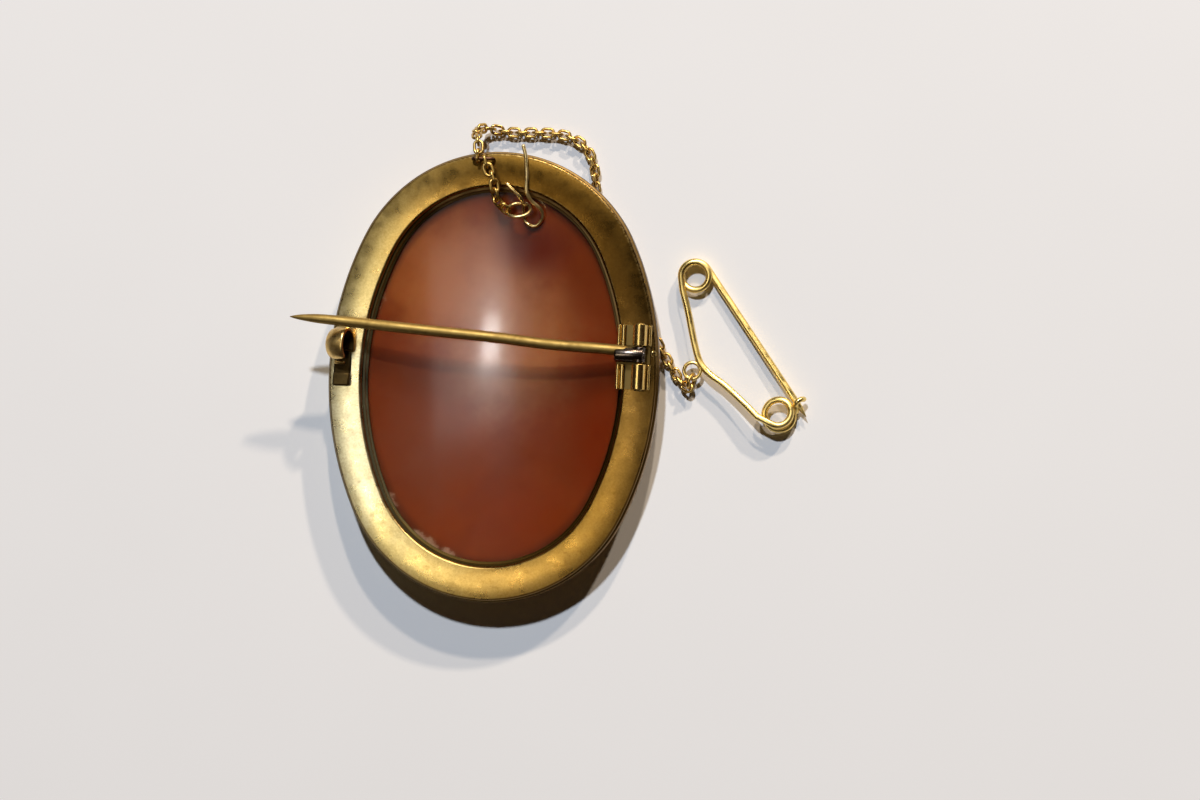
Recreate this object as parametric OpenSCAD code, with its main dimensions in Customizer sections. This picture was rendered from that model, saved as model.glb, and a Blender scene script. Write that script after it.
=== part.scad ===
// Oval shell cameo brooch with a hinged pin, a safety chain and a small safety pin.
// It lies face down, as on a table: the front rim is at z = 0 and the back faces up.
// +X points to the hinge, +Y to the end that carries the chain. Sizes are in millimetres.

/* [Frame] */
// Length of the frame over its outer edge
frame_l = 60.4; // [58:0.2:64]
// Width of the frame over its outer edge
frame_w = 45.2; // [44:0.2:48]
// How much smaller than half the width the radius of the end arcs is
end_less = 2.2; // [1.8:0.1:3]
// Height from the front rim to the back of the frame
frame_h = 5.8; // [5.6:0.1:7]
// Width of the plain border round the back
border_w = 4.8; // [4.4:0.1:5.2]
// Thickness of the border plate
plate_t = 0.85; // [0.7:0.05:1]
// Radius of the border's gentle crown
crown_r = 14; // [12:1:16]
// Step from the border's edge out to the front moulding
seam_step = 0.15; // [0.1:0.05:0.3]
// Radius of the quarter-round front moulding
moulding_r = 2.2; // [1.8:0.1:2.4]
// Height of the straight side wall below the border
side_h = 1.05; // [0.8:0.05:1.2]
// Radius of the front rim's round bead
bead_r = 0.95; // [0.8:0.05:1.1]
// Flat worn off the crown of the bead
bead_flat = 0.1; // [0.05:0.05:0.2]
// Distance of the bead's middle from the moulding's inner end
bead_off = 1.15; // [1.1:0.05:1.2]

/* [Shell] */
// Clearance between the shell and its seat
seat_gap = 0.1; // [0.05:0.05:0.2]
// Distance of the shell's edge inside the outer edge
shell_inset = 5.05; // [5:0.05:5.3]
// Width of the ledge that shows inside the border
ledge_w = 0.6; // [0.4:0.1:0.8]
// Depth of the ledge's underside below the back
ledge_depth = 1.4; // [1.3:0.05:1.6]
// Thickness of the ledge
ledge_t = 0.2; // [0.15:0.05:0.25]
// Thickness of the step between the border and the ledge
step_t = 0.5; // [0.4:0.05:0.6]
// How far the lip under the shell reaches in past the ledge
lip_in = 0.3; // [0.2:0.05:0.4]
// Thickness of the lip under the shell
lip_t = 0.7; // [0.6:0.05:0.75]
// Height of the lip's underside above the middle of the bead
lip_up = 0.65; // [0.6:0.05:0.7]
// Depth of the hollow back of the shell at its middle, below the back of the frame
hollow_depth = 3.7; // [3.5:0.1:4]
// Radius of the hollow across the width
hollow_r = 76; // [74:1:100]
// Radius of the domed front across the width
dome_r = 95; // [90:1:120]
// Radius of the shell's curves along the length, over that across the width
long_curve = 2.05; // [1.9:0.05:2.2]
// Thickness of the ground of the shell at its middle
shell_t = 1.25; // [1:0.05:1.4]
// Height of the carved relief over the ground
relief_h = 0.6; // [0.3:0.05:0.6]

/* [Hinge and pin] */
// Distance of the hinge's axis inside the outer edge
hinge_in = 2.4; // [2.2:0.1:2.8]
// Place of the hinge's middle along the frame
hinge_y = 3.5; // [0:0.5:5]
// Height of the hinge's axis above the border
hinge_h = 1.35; // [1.3:0.05:1.6]
// Radius of the hinge's barrels
barrel_r = 0.95; // [0.85:0.05:1]
// Gap between the two knuckles
knuckle_gap = 2.5; // [2.3:0.1:2.8]
// Length of the upper knuckle
knuckle_upper_l = 2.75; // [2:0.25:3.5]
// Length of the lower knuckle
knuckle_lower_l = 3.3; // [2:0.1:4]
// Thickness of the hinge's base plate
base_t = 0.25; // [0.2:0.05:0.3]
// How far the base plate reaches past the joint's open end
base_back = 0.2; // [0.1:0.05:0.3]
// How far the base plate reaches past the barrels
base_front = 0.35; // [0.3:0.05:0.4]
// How much narrower the web under a barrel is, on each side
web_in = 0.15; // [0.1:0.05:0.2]
// Diameter of the hinge's rivet
rivet_d = 0.84; // [0.7:0.02:0.9]
// Clearance round the rivet
rivet_gap = 0.03; // [0.02:0.01:0.06]
// Thickness of the rivet's heads
rivet_head_t = 0.18; // [0.1:0.02:0.24]
// How far the rivet's heads reach past its wire
rivet_head_over = 0.16; // [0.1:0.02:0.2]
// Clearance on each side of the pin's joint
joint_gap = 0.2; // [0.15:0.05:0.3]
// Length of the pin from the hinge's axis to its point
pin_l = 47.2; // [42:0.2:50]
// Diameter of the pin
pin_d = 1.45; // [1.2:0.05:1.6]
// How far the pin's point stands to one side
pin_side = 3.3; // [3:0.1:4]
// How far the pin's point stands up above the hinge's axis
pin_rise = 2.35; // [2:0.05:5]
// Length of the pin's joint from the axis to its open end
joint_l = 3.1; // [2.5:0.1:3.5]

/* [Catch] */
// Distance of the catch inside the outer edge
catch_in = 1.9; // [1.8:0.1:2.6]
// Place of the catch's hook along the frame
catch_y = 3.65; // [3:0.05:3.7]
// Outer radius of the catch's hook
hook_r = 1.7; // [1.5:0.05:1.75]
// Thickness of the catch's strip
strip_t = 0.55; // [0.45:0.05:0.6]
// Width of the catch's strip
strip_w = 2.3; // [1.8:0.1:2.6]
// How far the hook leans outwards, in degrees
hook_lean = 18; // [0:1:25]
// Length of the catch's foot along the frame
foot_l = 4.9; // [4:0.1:5.2]
// How much narrower the foot is than the strip, on each side
foot_in = 0.2; // [0.1:0.05:0.3]
// Length of the block at the foot's end
block_l = 1.8; // [1.5:0.1:2]
// How much narrower the block is than the strip, on each side
block_in = 0.25; // [0.2:0.05:0.3]
// Height of the block above the foot
block_h = 0.55; // [0.4:0.05:0.6]
// Angle at which the curl begins, from the foot, in degrees
curl_from = -25; // [-30:1:-20]
// Angle through which the strip curls, in degrees
curl_turn = 275; // [265:1:280]

/* [Chain] */
// Diameter of the wire of the links
link_wire = 0.32; // [0.3:0.01:0.34]
// Length of a link outside
link_l = 2.1; // [2.05:0.01:2.2]
// Width of a link outside
link_w = 1.5; // [1.44:0.01:1.56]
// Distance from link to link along the chain
link_pitch = 1.16; // [1.12:0.01:1.2]
// How far the links roll off the level, in degrees
link_roll = 16; // [0:1:30]
// Diameter of the wire of the loop that holds the chain
staple_wire = 0.48; // [0.4:0.02:0.48]
// Width of the loop that holds the chain, between the middles of its legs
staple_w = 2.7; // [2.5:0.1:3.4]
// Height of the loop above the border
staple_h = 0.95; // [0.9:0.05:1.2]
// Place of the loop across the frame
staple_x = -2.3; // [-4:0.1:0]
// Distance of the loop inside the outer edge
staple_in = 1.05; // [0.9:0.05:1.3]
// Radius of the loop's bends to the middle of its wire
staple_bend = 0.4; // [0.35:0.05:0.5]
// Radius of the small ring at the chain's end to the middle of its wire
end_ring_r = 1; // [0.95:0.01:1.05]
// Diameter of the small ring's wire
end_ring_wire = 0.36; // [0.3:0.02:0.38]

/* [Ring and wire hook] */
// Radius of the hook's ring to the middle of its wire
ring_r = 1.6; // [1.55:0.05:1.7]
// Diameter of the ring's wire
ring_wire = 0.5; // [0.4:0.02:0.52]
// How far the ring leans, in degrees
ring_lean = 50; // [45:1:55]
// Diameter of the hook's wire
hook_wire = 0.5; // [0.3:0.02:0.52]

/* [Safety pin] */
// Diameter of the safety pin's wire
safety_wire = 0.9; // [0.7:0.05:0.95]
// Length of the straight arm from the spring coil to the point
safety_l = 24; // [23:0.2:26]
// Radius of the spring coil to the middle of its wire
coil_r = 1.87; // [1.7:0.05:2.1]
// How much smaller the radius of the end coil is
end_coil_less = 0.1; // [0:0.05:0.2]
// Radius of the eye that the chain is fastened to
eye_r = 1.1; // [1.05:0.05:1.2]
// Diameter of the eye's wire
eye_wire = 0.52; // [0.4:0.02:0.54]

/* [Hidden] */
$fn = 96;
SLIVER = 0.05;
THROUGH = 1;
BRASS = "#b08a3c";
DARK_BRASS = "#5f4a26";
STEEL = "#4a4038";
SHELL = "#8a4a2c";

// The outline is an oval of four arcs, so every inner line is an oval of four arcs too
half_l = frame_l / 2;
half_w = frame_w / 2;
end_r = half_w - end_less;
side_r = (half_w^2 + half_l^2 - 2 * half_l * end_r) / (2 * (half_w - end_r));
side_c = side_r - half_w;
end_c = half_l - end_r;
join = atan2(end_c, side_c);

wall_base = frame_h - plate_t - side_h;
bead_in = moulding_r + bead_off;
bead_h = bead_r - bead_flat;
neck_in = bead_in - bead_r + SLIVER;
ledge_z = frame_h - ledge_depth;
ledge_in = border_w + ledge_w;
hollow_z = frame_h - hollow_depth;
ground_z = hollow_z - shell_t;
hinge_x = half_w - hinge_in;
axis_z = frame_h + hinge_h;
joint_w = knuckle_gap - 2 * joint_gap;
hinge_low = -knuckle_gap / 2 - knuckle_lower_l;
hinge_high = knuckle_gap / 2 + knuckle_upper_l;
catch_x = -(half_w - catch_in);
rest_gap = 0.05;
rest_z = link_w / 2 + rest_gap;

// Distance of the outer edge from the long axis at x, on the end arcs
function edge_y(x) = end_c + sqrt(end_r^2 - x^2);

function unit(v) = v / norm(v);

// Points of a smooth curve through p, with n steps from each point to the next
function spline(p, n) = [
    for (i = [0 : len(p) - 2])
        let (a = p[max(i - 1, 0)], b = p[i], c = p[i + 1], d = p[min(i + 2, len(p) - 1)])
            for (k = [0 : n - 1])
                let (t = k / n)
                    0.5 * (2 * b + (c - a) * t + (2 * a - 5 * b + 4 * c - d) * t^2
                        + (3 * b - a - 3 * c + d) * t^3),
    p[len(p) - 1]
];

// Running length along the points p
function runs(p, i = 0, sum = 0) =
    i >= len(p) ? [] : concat([sum], runs(p, i + 1,
        sum + (i + 1 < len(p) ? norm(p[i + 1] - p[i]) : 0)));

function at_run(p, run, s) =
    let (i = max([for (k = [0 : len(run) - 2]) if (run[k] <= s) k]))
        p[i] + (p[i + 1] - p[i]) * (s - run[i]) / (run[i + 1] - run[i]);

// Directions along the points p, and a side direction carried along them without twist
function headings(p) = [
    for (i = [0 : len(p) - 1])
        unit(p[min(i + 1, len(p) - 1)] - p[max(i - 1, 0)])
];
function sides(h, first, i = 0) =
    i >= len(h) ? [] :
        let (s = unit(first - (first * h[i]) * h[i]))
            concat([s], sides(h, s, i + 1));

// A round wire along the points p with the radii r, of n flats
module wire(p, r, n = 8, first = [0, 0, 1]) {
    h = headings(p);
    s = sides(h, first);
    rings = [
        for (i = [0 : len(p) - 1], k = [0 : n - 1])
            let (a = 360 * k / n)
                p[i] + r[i] * (cos(a) * s[i] + sin(a) * cross(h[i], s[i]))
    ];
    last = (len(p) - 1) * n;
    walls = [
        for (i = [0 : len(p) - 2], k = [0 : n - 1])
            let (a = i * n + k, b = i * n + (k + 1) % n)
                each [[a, b, b + n], [a, b + n, a + n]]
    ];
    caps = [[for (k = [n - 1 : -1 : 0]) k], [for (k = [0 : n - 1]) last + k]];
    polyhedron(rings, concat([for (f = walls) [f[2], f[1], f[0]]], [for (f = caps) [
        for (k = [len(f) - 1 : -1 : 0]) f[k]]]));
}

// Carries a section round the oval: its x is outwards from the outer edge, its y is up
module oval_sweep() {
    for (turn = [0, 180])
        rotate(turn)
            translate([-side_c, 0])
                rotate_extrude(start = -join, angle = 2 * join)
                    translate([side_r, 0])
                        children();
    for (turn = [0, 180])
        rotate(turn)
            translate([0, end_c])
                rotate_extrude(start = join, angle = 180 - 2 * join)
                    translate([end_r, 0])
                        children();
}

// Outline of the oval that lies inset inside the outer edge, in short flats
function arc_points(c, r, from, to, n) =
    [for (k = [0 : n - 1]) let (a = from + (to - from) * k / n) [c[0] + r * cos(a), c[1] + r * sin(a)]];
function half_oval(inset) = concat(
    arc_points([-side_c, 0], side_r - inset, -join, join, 16),
    arc_points([0, end_c], end_r - inset, join, 180 - join, 24)
);
function oval_points(inset) = concat(half_oval(inset), -half_oval(inset));

// Border plate with round edges, cut to a gentle crown
module border_section() {
    r = (plate_t + SLIVER) / 2;
    intersection() {
        union() {
            translate([-border_w + r, frame_h - plate_t])
                square([border_w - seam_step - 2 * r, 2 * r]);
            for (x = [-border_w + r, -seam_step - r])
                translate([x, frame_h - plate_t + r])
                    circle(r, $fn = 24);
        }
        translate([-(border_w + seam_step) / 2, frame_h - crown_r])
            circle(crown_r, $fn = 720);
    }
}

// Side wall, quarter-round moulding and the bead that the brooch lies on
module front_section() {
    translate([-moulding_r, wall_base])
        square([moulding_r, side_h]);
    translate([-moulding_r - SLIVER, wall_base]) {
        intersection() {
            translate([SLIVER, 0])
                circle(moulding_r);
            translate([0, -moulding_r])
                square([moulding_r + SLIVER, moulding_r]);
        }
    }
    intersection() {
        translate([-bead_in, bead_h])
            circle(bead_r);
        translate([-bead_in - bead_r, 0])
            square([2 * bead_r, 2 * bead_r]);
    }
}

// Wall behind the moulding, with the ledge above the shell and the lip below it
module seat_section() {
    seat_in = shell_inset - seat_gap;
    translate([-seat_in, bead_h])
        square([seat_in - neck_in, frame_h - plate_t / 2 - bead_h]);
    translate([-ledge_in, ledge_z])
        square([ledge_in - moulding_r, ledge_t]);
    translate([-(border_w + ledge_w / 2), ledge_z])
        square([border_w + ledge_w / 2 - moulding_r, step_t]);
    translate([-ledge_in - lip_in, bead_h + lip_up])
        square([ledge_in + lip_in - bead_in, lip_t]);
}

// Ridges of the folded strip: place across from the hinge's axis, height, radius
knuckle_ridges = [
    [-joint_l + 0.1, 0.25, 0.25],
    [-joint_l + 0.75, 0.35, 0.34],
    [barrel_r + 0.2, 0.32, 0.24],
];

// Section of a knuckle: base plate, ridges, web and barrel
module knuckle_profile() {
    translate([-joint_l - base_back, 0])
        square([joint_l + base_back + barrel_r + base_front, base_t]);
    for (ridge = knuckle_ridges)
        translate([ridge[0], ridge[1]])
            circle(ridge[2], $fn = 24);
    translate([-barrel_r + web_in, 0])
        square([2 * (barrel_r - web_in), hinge_h]);
    translate([0, hinge_h])
        circle(barrel_r, $fn = 48);
}

// Two knuckles on one base plate, soldered into the border
module hinge_base() {
    root = 0.5;
    translate([hinge_x, hinge_y, frame_h]) {
        for (k = [[hinge_high, knuckle_upper_l], [-knuckle_gap / 2, knuckle_lower_l]])
            translate([0, k[0], 0])
                rotate([90, 0, 0])
                    linear_extrude(k[1])
                        knuckle_profile();
        translate([-joint_l - base_back, hinge_low, -root])
            cube([joint_l + base_back + barrel_r + base_front, hinge_high - hinge_low,
                  base_t + root]);
    }
}

module rivet_bore() {
    translate([hinge_x, hinge_y + hinge_high + THROUGH, axis_z])
        rotate([90, 0, 0])
            cylinder(r = rivet_d / 2 + rivet_gap, h = hinge_high - hinge_low + 2 * THROUGH,
                     $fn = 48);
}

// Strip that rises from its foot and curls over into a hook, open towards the foot
module catch() {
    sink = 0.15;
    root = 0.3;
    reach = foot_l + hook_r / 2;
    translate([catch_x, catch_y, frame_h - sink]) {
        translate([-strip_w / 2 + foot_in, -reach, -root])
            cube([strip_w - 2 * foot_in, reach, strip_t + root]);
        translate([-strip_w / 2 + block_in, -reach, 0])
            cube([strip_w - 2 * block_in, block_l, strip_t + block_h]);
        translate([0, 0, hook_r])
            rotate([0, -hook_lean, 0])
                rotate([0, 90, 0])
                    rotate_extrude(start = curl_from, angle = curl_turn, $fn = 64)
                        hook_section();
    }
}

module hook_section() {
    r = strip_t / 2;
    translate([hook_r - strip_t, -strip_w / 2 + r])
        square([strip_t, strip_w - 2 * r]);
    for (s = [-1, 1])
        translate([hook_r - r, s * (strip_w / 2 - r)])
            circle(r, $fn = 20);
}

// Wire loop near the chain's end of the frame
module staple() {
    root = 0.45;
    w = staple_w / 2 - staple_bend;
    translate([staple_x, edge_y(staple_x) - staple_in, frame_h]) {
        translate([-w, 0, staple_h])
            rotate([0, 90, 0])
                cylinder(d = staple_wire, h = 2 * w, $fn = 24);
        for (s = [-1, 1]) {
            translate([s * (w + staple_bend), 0, -root])
                cylinder(d = staple_wire, h = staple_h + root - staple_bend, $fn = 24);
            translate([s * w, 0, staple_h - staple_bend])
                rotate([90, 0, 0])
                    rotate_extrude(start = s > 0 ? 0 : 90, angle = 90, $fn = 48)
                        translate([staple_bend, 0])
                            circle(d = staple_wire, $fn = 24);
        }
    }
}

module frame() {
    color(BRASS)
        difference() {
            union() {
                oval_sweep() {
                    border_section();
                    front_section();
                    seat_section();
                }
                hinge_base();
                catch();
                staple();
            }
            rivet_bore();
        }
}

// Body that bulges down to z = 0 with the radius r across and long_curve times r along
module bowl(r) {
    deep = 12;
    reach = 15;
    translate([0, 0, r * long_curve])
        rotate([0, 90, 0])
            rotate_extrude(start = -reach, angle = 2 * reach, $fn = 1440)
                intersection() {
                    translate([r * (long_curve - 1), 0])
                        circle(r, $fn = 720);
                    translate([r * long_curve - deep, -half_w])
                        square([deep + THROUGH, frame_w]);
                }
}

// Height of the front's ground at x, y
function dome_at(x, y) = ground_z + x^2 / (2 * dome_r) + y^2 / (2 * dome_r * long_curve);

// A petal: the cap of a ball that stands h out of the ground over a round of the radius foot
module petal(x, y, foot, h) {
    r = foot^2 / (2 * h) + h / 2;
    translate([x, y, dome_at(x, y) - h + r])
        rotate([90, 0, 0])
            sphere(r, $fn = 128);
}

// A pointed leaf: the edge of the lens that two balls have in common
module leaf(x, y, turn, length, h) {
    apart = 0.3;
    edge = sqrt(1 - apart^2);
    r = length^2 / (8 * h * edge);
    translate([x, y, dome_at(x, y) - h + r * edge])
        rotate(turn)
            intersection_for (side = [-1, 1])
                translate([0, side * apart * r, 0])
                    rotate([90, 0, 0])
                        sphere(r, $fn = 128);
}

// Rows of petals: how many, their ring's radius, their foot, their height, the first's turn;
// lengths are shares of the shell's half width, heights are shares of the relief
rose_rows = [
    [6, 0.26, 0.19, 0.6, 0],
    [5, 0.13, 0.12, 0.8, 20],
    [1, 0.0, 0.07, 1.0, 0],
];
// Rows of leaves: place across and along as shares of the half width and half length,
// turn in degrees and length as a share of the half width
leaf_rows = [
    [0.42, 0.34, 50, 0.38],
    [-0.42, 0.32, 130, 0.38],
    [0.1, 0.52, 80, 0.34],
    [-0.34, -0.14, 215, 0.36],
    [0.36, -0.12, 325, 0.36],
    [0.08, -0.36, 265, 0.4],
    [-0.16, -0.52, 240, 0.3],
];
// Rows of buds: place across and along, foot as a share of the half width
bud_rows = [
    [-0.14, 0.56, 0.1],
    [0.3, -0.44, 0.09],
    [0.02, -0.62, 0.08],
];

// The rose sits a little above the middle, and leaves and buds are lower than its heart
rose_up = 0.1;
leaf_share = 0.7;
bud_share = 0.8;

module spray() {
    for (row = rose_rows, k = [0 : row[0] - 1])
        let (a = row[4] + 360 * k / row[0], d = row[1] * half_w)
            petal(d * cos(a), rose_up * half_l + d * sin(a), row[2] * half_w,
                  row[3] * relief_h);
    for (row = leaf_rows)
        leaf(row[0] * half_w, row[1] * half_l, row[2], row[3] * half_w, leaf_share * relief_h);
    for (row = bud_rows)
        petal(row[0] * half_w, row[1] * half_l, row[2] * half_w, bud_share * relief_h);
}

module shell() {
    color(SHELL)
        difference() {
            intersection() {
                linear_extrude(frame_h)
                    polygon(oval_points(shell_inset));
                union() {
                    translate([0, 0, ground_z])
                        bowl(dome_r);
                    spray();
                }
            }
            translate([0, 0, hollow_z])
                bowl(hollow_r);
        }
}

// Rivet with a flat head at each end, just clear of the knuckles
module hinge_rivet() {
    head_gap = 0.05;
    low = hinge_low - head_gap;
    high = hinge_high + head_gap;
    color(DARK_BRASS)
        translate([hinge_x, hinge_y + high + rivet_head_t, axis_z])
            rotate([90, 0, 0]) {
                cylinder(d = rivet_d, h = high - low + 2 * rivet_head_t, $fn = 48);
                for (z = [0, high - low + rivet_head_t])
                    translate([0, 0, z])
                        cylinder(r = rivet_d / 2 + rivet_head_over, h = rivet_head_t, $fn = 48);
            }
}

// Rows along the pin: share of its length, of its sideways drift, of its rise, of its radius
pin_rows = [
    [0.042, 0.145, 0.02, 1.0],
    [0.064, 0.17, 0.03, 1.0],
    [0.11, 0.205, 0.09, 1.0],
    [0.17, 0.235, 0.16, 1.0],
    [0.225, 0.265, 0.23, 1.0],
    [0.28, 0.315, 0.29, 1.0],
    [0.34, 0.39, 0.35, 1.0],
    [0.40, 0.47, 0.41, 1.0],
    [0.54, 0.60, 0.56, 1.0],
    [0.68, 0.73, 0.72, 1.0],
    [0.80, 0.85, 0.84, 0.97],
    [0.87, 0.92, 0.90, 0.93],
    [0.92, 0.96, 0.94, 0.84],
    [0.96, 0.985, 0.97, 0.6],
    [0.985, 0.995, 0.99, 0.34],
    [1.0, 1.0, 1.0, 0.08],
];

// Long pin that grows out of a round block, whose barrel turns on the rivet
module pin() {
    block_share = 0.96;
    route = [for (w = pin_rows) [-w[0] * pin_l, w[1] * pin_side, w[2] * pin_rise]];
    color(STEEL)
        translate([hinge_x, hinge_y, axis_z]) {
            difference() {
                union() {
                    translate([0, joint_w / 2, 0])
                        rotate([90, 0, 0])
                            cylinder(r = barrel_r, h = joint_w, $fn = 48);
                    translate([-joint_l, 0, 0])
                        rotate([0, 90, 0])
                            cylinder(r = barrel_r * block_share, h = joint_l, $fn = 48);
                }
                translate([0, joint_w, 0])
                    rotate([90, 0, 0])
                        cylinder(r = rivet_d / 2 + rivet_gap, h = 2 * joint_w, $fn = 48);
            }
            wire(route, [for (w = pin_rows) w[3] * pin_d / 2], 10, [0, 1, 0]);
        }
}

// One oval link, long along X and flat in the XY plane
module link() {
    bend = (link_w - link_wire) / 2;
    straight = (link_l - link_w) / 2;
    for (s = [-1, 1]) {
        translate([-straight, s * bend, 0])
            rotate([0, 90, 0])
                cylinder(d = link_wire, h = 2 * straight, $fn = 24);
        translate([s * straight, 0, 0])
            rotate(s > 0 ? 0 : 180)
                rotate_extrude(start = -90, angle = 180, $fn = 32)
                    translate([bend, 0])
                        circle(d = link_wire, $fn = 24);
    }
}

// Sideways direction that lies level, and the turn about h from it to the direction s
function level(h) = unit([-h[1], h[0], 0]);
function twist(h, s) = atan2(cross(level(h), s) * h, level(h) * s);

// Links along a route, each about a quarter turn from the one before. The first and the last
// have the rolls given, from level, and those between roll by up to mid_roll more.
module links(route, start_roll, end_roll, mid_roll) {
    p = spline(route, 8);
    run = runs(p);
    length = run[len(run) - 1];
    stretch = 0.3;
    tiny = 0.001;
    last = floor(length / link_pitch + stretch);
    reach = link_l / 5;
    at = [for (i = [0 : last]) at_run(p, run, min(length * i / last, length - tiny))];
    way = [
        for (i = [0 : last])
            let (
                here = length * i / last,
                ahead = min(here + reach, length - tiny),
                behind = max(here - reach, 0)
            )
                unit(at_run(p, run, ahead) - at_run(p, run, behind))
    ];
    side = sides(way, level(way[0]));
    slip = end_roll - start_roll - 90 * last - twist(way[last], side[last]);
    even_slip = (slip % 180 + 270) % 180 - 90;
    for (i = [0 : last]) {
        roll = start_roll + 90 * i + even_slip * i / last + mid_roll * sin(180 * i / last);
        y = cos(roll) * side[i] + sin(roll) * cross(way[i], side[i]);
        z = cross(way[i], y);
        multmatrix([for (k = [0 : 2]) [way[i][k], y[k], z[k], at[i][k]]])
            link();
    }
}

// Middle of the wire loop's crossbar, which both chains start on
loop_at = [staple_x, edge_y(staple_x) - staple_in, frame_h + staple_h];

// Height of the hollow back of the shell at x, y
function hollow_at(x, y) = hollow_z + x^2 / (2 * hollow_r) + y^2 / (2 * hollow_r * long_curve);

// A point on the back: across and along from the wire loop, share of the way from the border
// down into the hollow, and lift
function on_back(p) =
    let (x = loop_at[0] + p[0], y = loop_at[1] + p[1])
        [x, y, frame_h - p[2] * (frame_h - hollow_at(x, y)) + p[3]];

hook_points = [
    [3.4, -3.27, 0, 0.4],
    [4.38, -4.17, 0, 0.3],
    [5.3, -5.07, 0.5, 0.85],
    [5.55, -5.92, 1, 1.37],
    [5.5, -7.17, 1, 0.65],
    [5.7, -8.02, 1, 0.41],
    [6.45, -8.57, 1, 0.45],
    [7.25, -8.52, 1, 0.44],
    [7.95, -7.77, 1, 0.54],
    [8.1, -6.92, 1, 0.76],
    [7.7, -6.22, 1, 1.14],
    [6.7, -5.37, 0.5, 0.79],
    [6.2, -4.52, 0, 0.3],
    [6.05, -3.72, 0, 0.4],
    [6.05, -2.22, 0, 0.4],
    [5.92, -0.87, 0, 0.4],
    [5.8, 0.48, 0, 0.4],
    [5.4, 1.88, 0, 0.5],
];
hook_route = [for (p = hook_points) on_back(p)];
ring_at = on_back([5, -6.67, 1, 1.8]);
hook_chain_route = [
    loop_at + [0.5, -0.35, 0],
    loop_at + [0.9, -1.52, 0],
    loop_at + [1.45, -2.52, 0],
    loop_at + [1.8, -3.62, -0.03],
    loop_at + [1.85, -4.67, -0.3],
    ring_at + [-2.75, 1, 0.55],
    ring_at + [-1.86, 0.12, 0.1],
];

// Places of the eye and the end ring beside the frame
eye_at = [half_w + 3.9, 1.95, 1.45];
end_ring_at = [half_w + 3.8, 0.55, 1.3];
end_ring_turn = [0, 80, -15];

// Chosen points of the long chain round a frame of this width and length: across, along, and
// height as a share of the frame's height, where it doesn't lie on the surface yet
route_w = 45.2;
route_l = 60.4;
chain_points = [
    [-3.15, 31.5, 1.095],
    [-3.55, 32.3, 0.914],
    [-3.85, 32.9, 0.69],
    [-3.7, 33.4, 0.483],
    [-3.05, 33.65, 0.302],
    [-2.0, 33.6, 0.181],
    [-0.8, 33.4, 0],
    [1.4, 33.3, 0],
    [4.1, 33.35, 0],
    [7.0, 33.2, 0],
    [9.2, 32.5, 0],
    [10.7, 31.3, 0],
    [11.6, 29.7, 0],
    [12.05, 27.8, 0],
    [12.2, 26.1, 0],
    [12.55, 24.6, 0],
    [14.3, 22.65, 0],
    [15.95, 20.5, 0],
    [17.15, 18.5, 0],
    [18.35, 16.0, 0],
    [19.6, 12.5, 0],
    [20.5, 8.9, 0],
    [21.0, 6.8, 0],
    [21.9, 5.0, 0],
    [23.0, 3.25, 0],
    [24.0, 1.75, 0],
];
chain_route = concat(
    [loop_at + [-0.6, 0.35, 0], loop_at + [-0.6, 1.5, 0]],
    [for (p = chain_points)
        [p[0] * frame_w / route_w, p[1] * frame_l / route_l, max(p[2] * frame_h, rest_z)]],
    [end_ring_at + [-1.5, -0.05, -0.4], end_ring_at + [-0.58, -0.75, -0.1]]
);

module ring(r, d, at, turn) {
    translate(at)
        rotate(turn)
            rotate_extrude($fn = 64)
                translate([r, 0])
                    circle(d = d, $fn = 24);
}

module chain() {
    color(BRASS) {
        links(chain_route, 90, 0, link_roll);
        ring(end_ring_r, end_ring_wire, end_ring_at, end_ring_turn);
    }
}

module hook_chain() {
    color(BRASS)
        links(hook_chain_route, 90, 35, 0);
}

module hook_ring() {
    color(BRASS)
        ring(ring_r, ring_wire, ring_at, [-ring_lean, 0, 0]);
}

module wire_hook() {
    route = spline(hook_route, 2);
    color(BRASS)
        wire(route, [for (p = route) hook_wire / 2], 8);
}

// The safety pin is one wire: point, straight arm, spring coil, back arm, end coil, hook.
// Turns are in degrees, and lifts and falls are heights.
coil_at = [half_w + 3.71, 14.65, 0];
arm_turn = 36.2;
arm_lift = 0.45;
coil_turn = 513;
coil_steps = 20;
coil_lift = 0.1;
end_coil_at = [half_w + 15.65, -3.15, 0];
end_coil_r = coil_r - end_coil_less;
end_coil_from = 236;
end_coil_turn = 513;
end_coil_steps = 19;
end_coil_lift = 0.75;
end_coil_fall = 1.8;
end_coil_drift = 0.585;
end_coil_drift_from = 0.32;
end_coil_open = 0.2;
end_coil_open_from = 0.47;
turn_gap = 0.15;
safety_low = safety_wire / 2 + rest_gap;
safety_top = safety_low + safety_wire + turn_gap;
// Points of the back arm: distance from the frame's edge, place along, lift over the top turn
back_points = [
    [2.15, 12.6, 0],
    [2.9, 10.2, 0],
    [3.75, 6.7, 0],
    [4.5, 4.1, 0],
    [5.25, 2.6, 0],
    [6.6, 1.35, 0.05],
    [8.0, 0.45, 0.15],
    [9.8, -1.0, 0.3],
    [11.7, -2.65, 0.55],
    [13.0, -3.85, 0.7],
];
back_arm = [for (p = back_points) [half_w + p[0], p[1], safety_top + p[2]]];
// Points of the hooked end: distance from the frame's edge, place along, height
end_points = [
    [17.9, -2.9, 0.85],
    [17.95, -2.3, 1.45],
    [18.1, -1.75, 2.0],
    [18.6, -1.35, 1.9],
    [19.0, -1.25, 1.4],
];
end_hook = [for (p = end_points) [half_w + p[0], p[1], p[2]]];
function around(c, r, a, z) = [c[0] + r * cos(a), c[1] + r * sin(a), z];
// The coil climbs from the straight arm up to the back arm
function coil_point(s) = around(coil_at, coil_r, arm_turn + coil_turn * s,
    safety_low + coil_lift + (safety_top - safety_low - coil_lift) * s);
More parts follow.
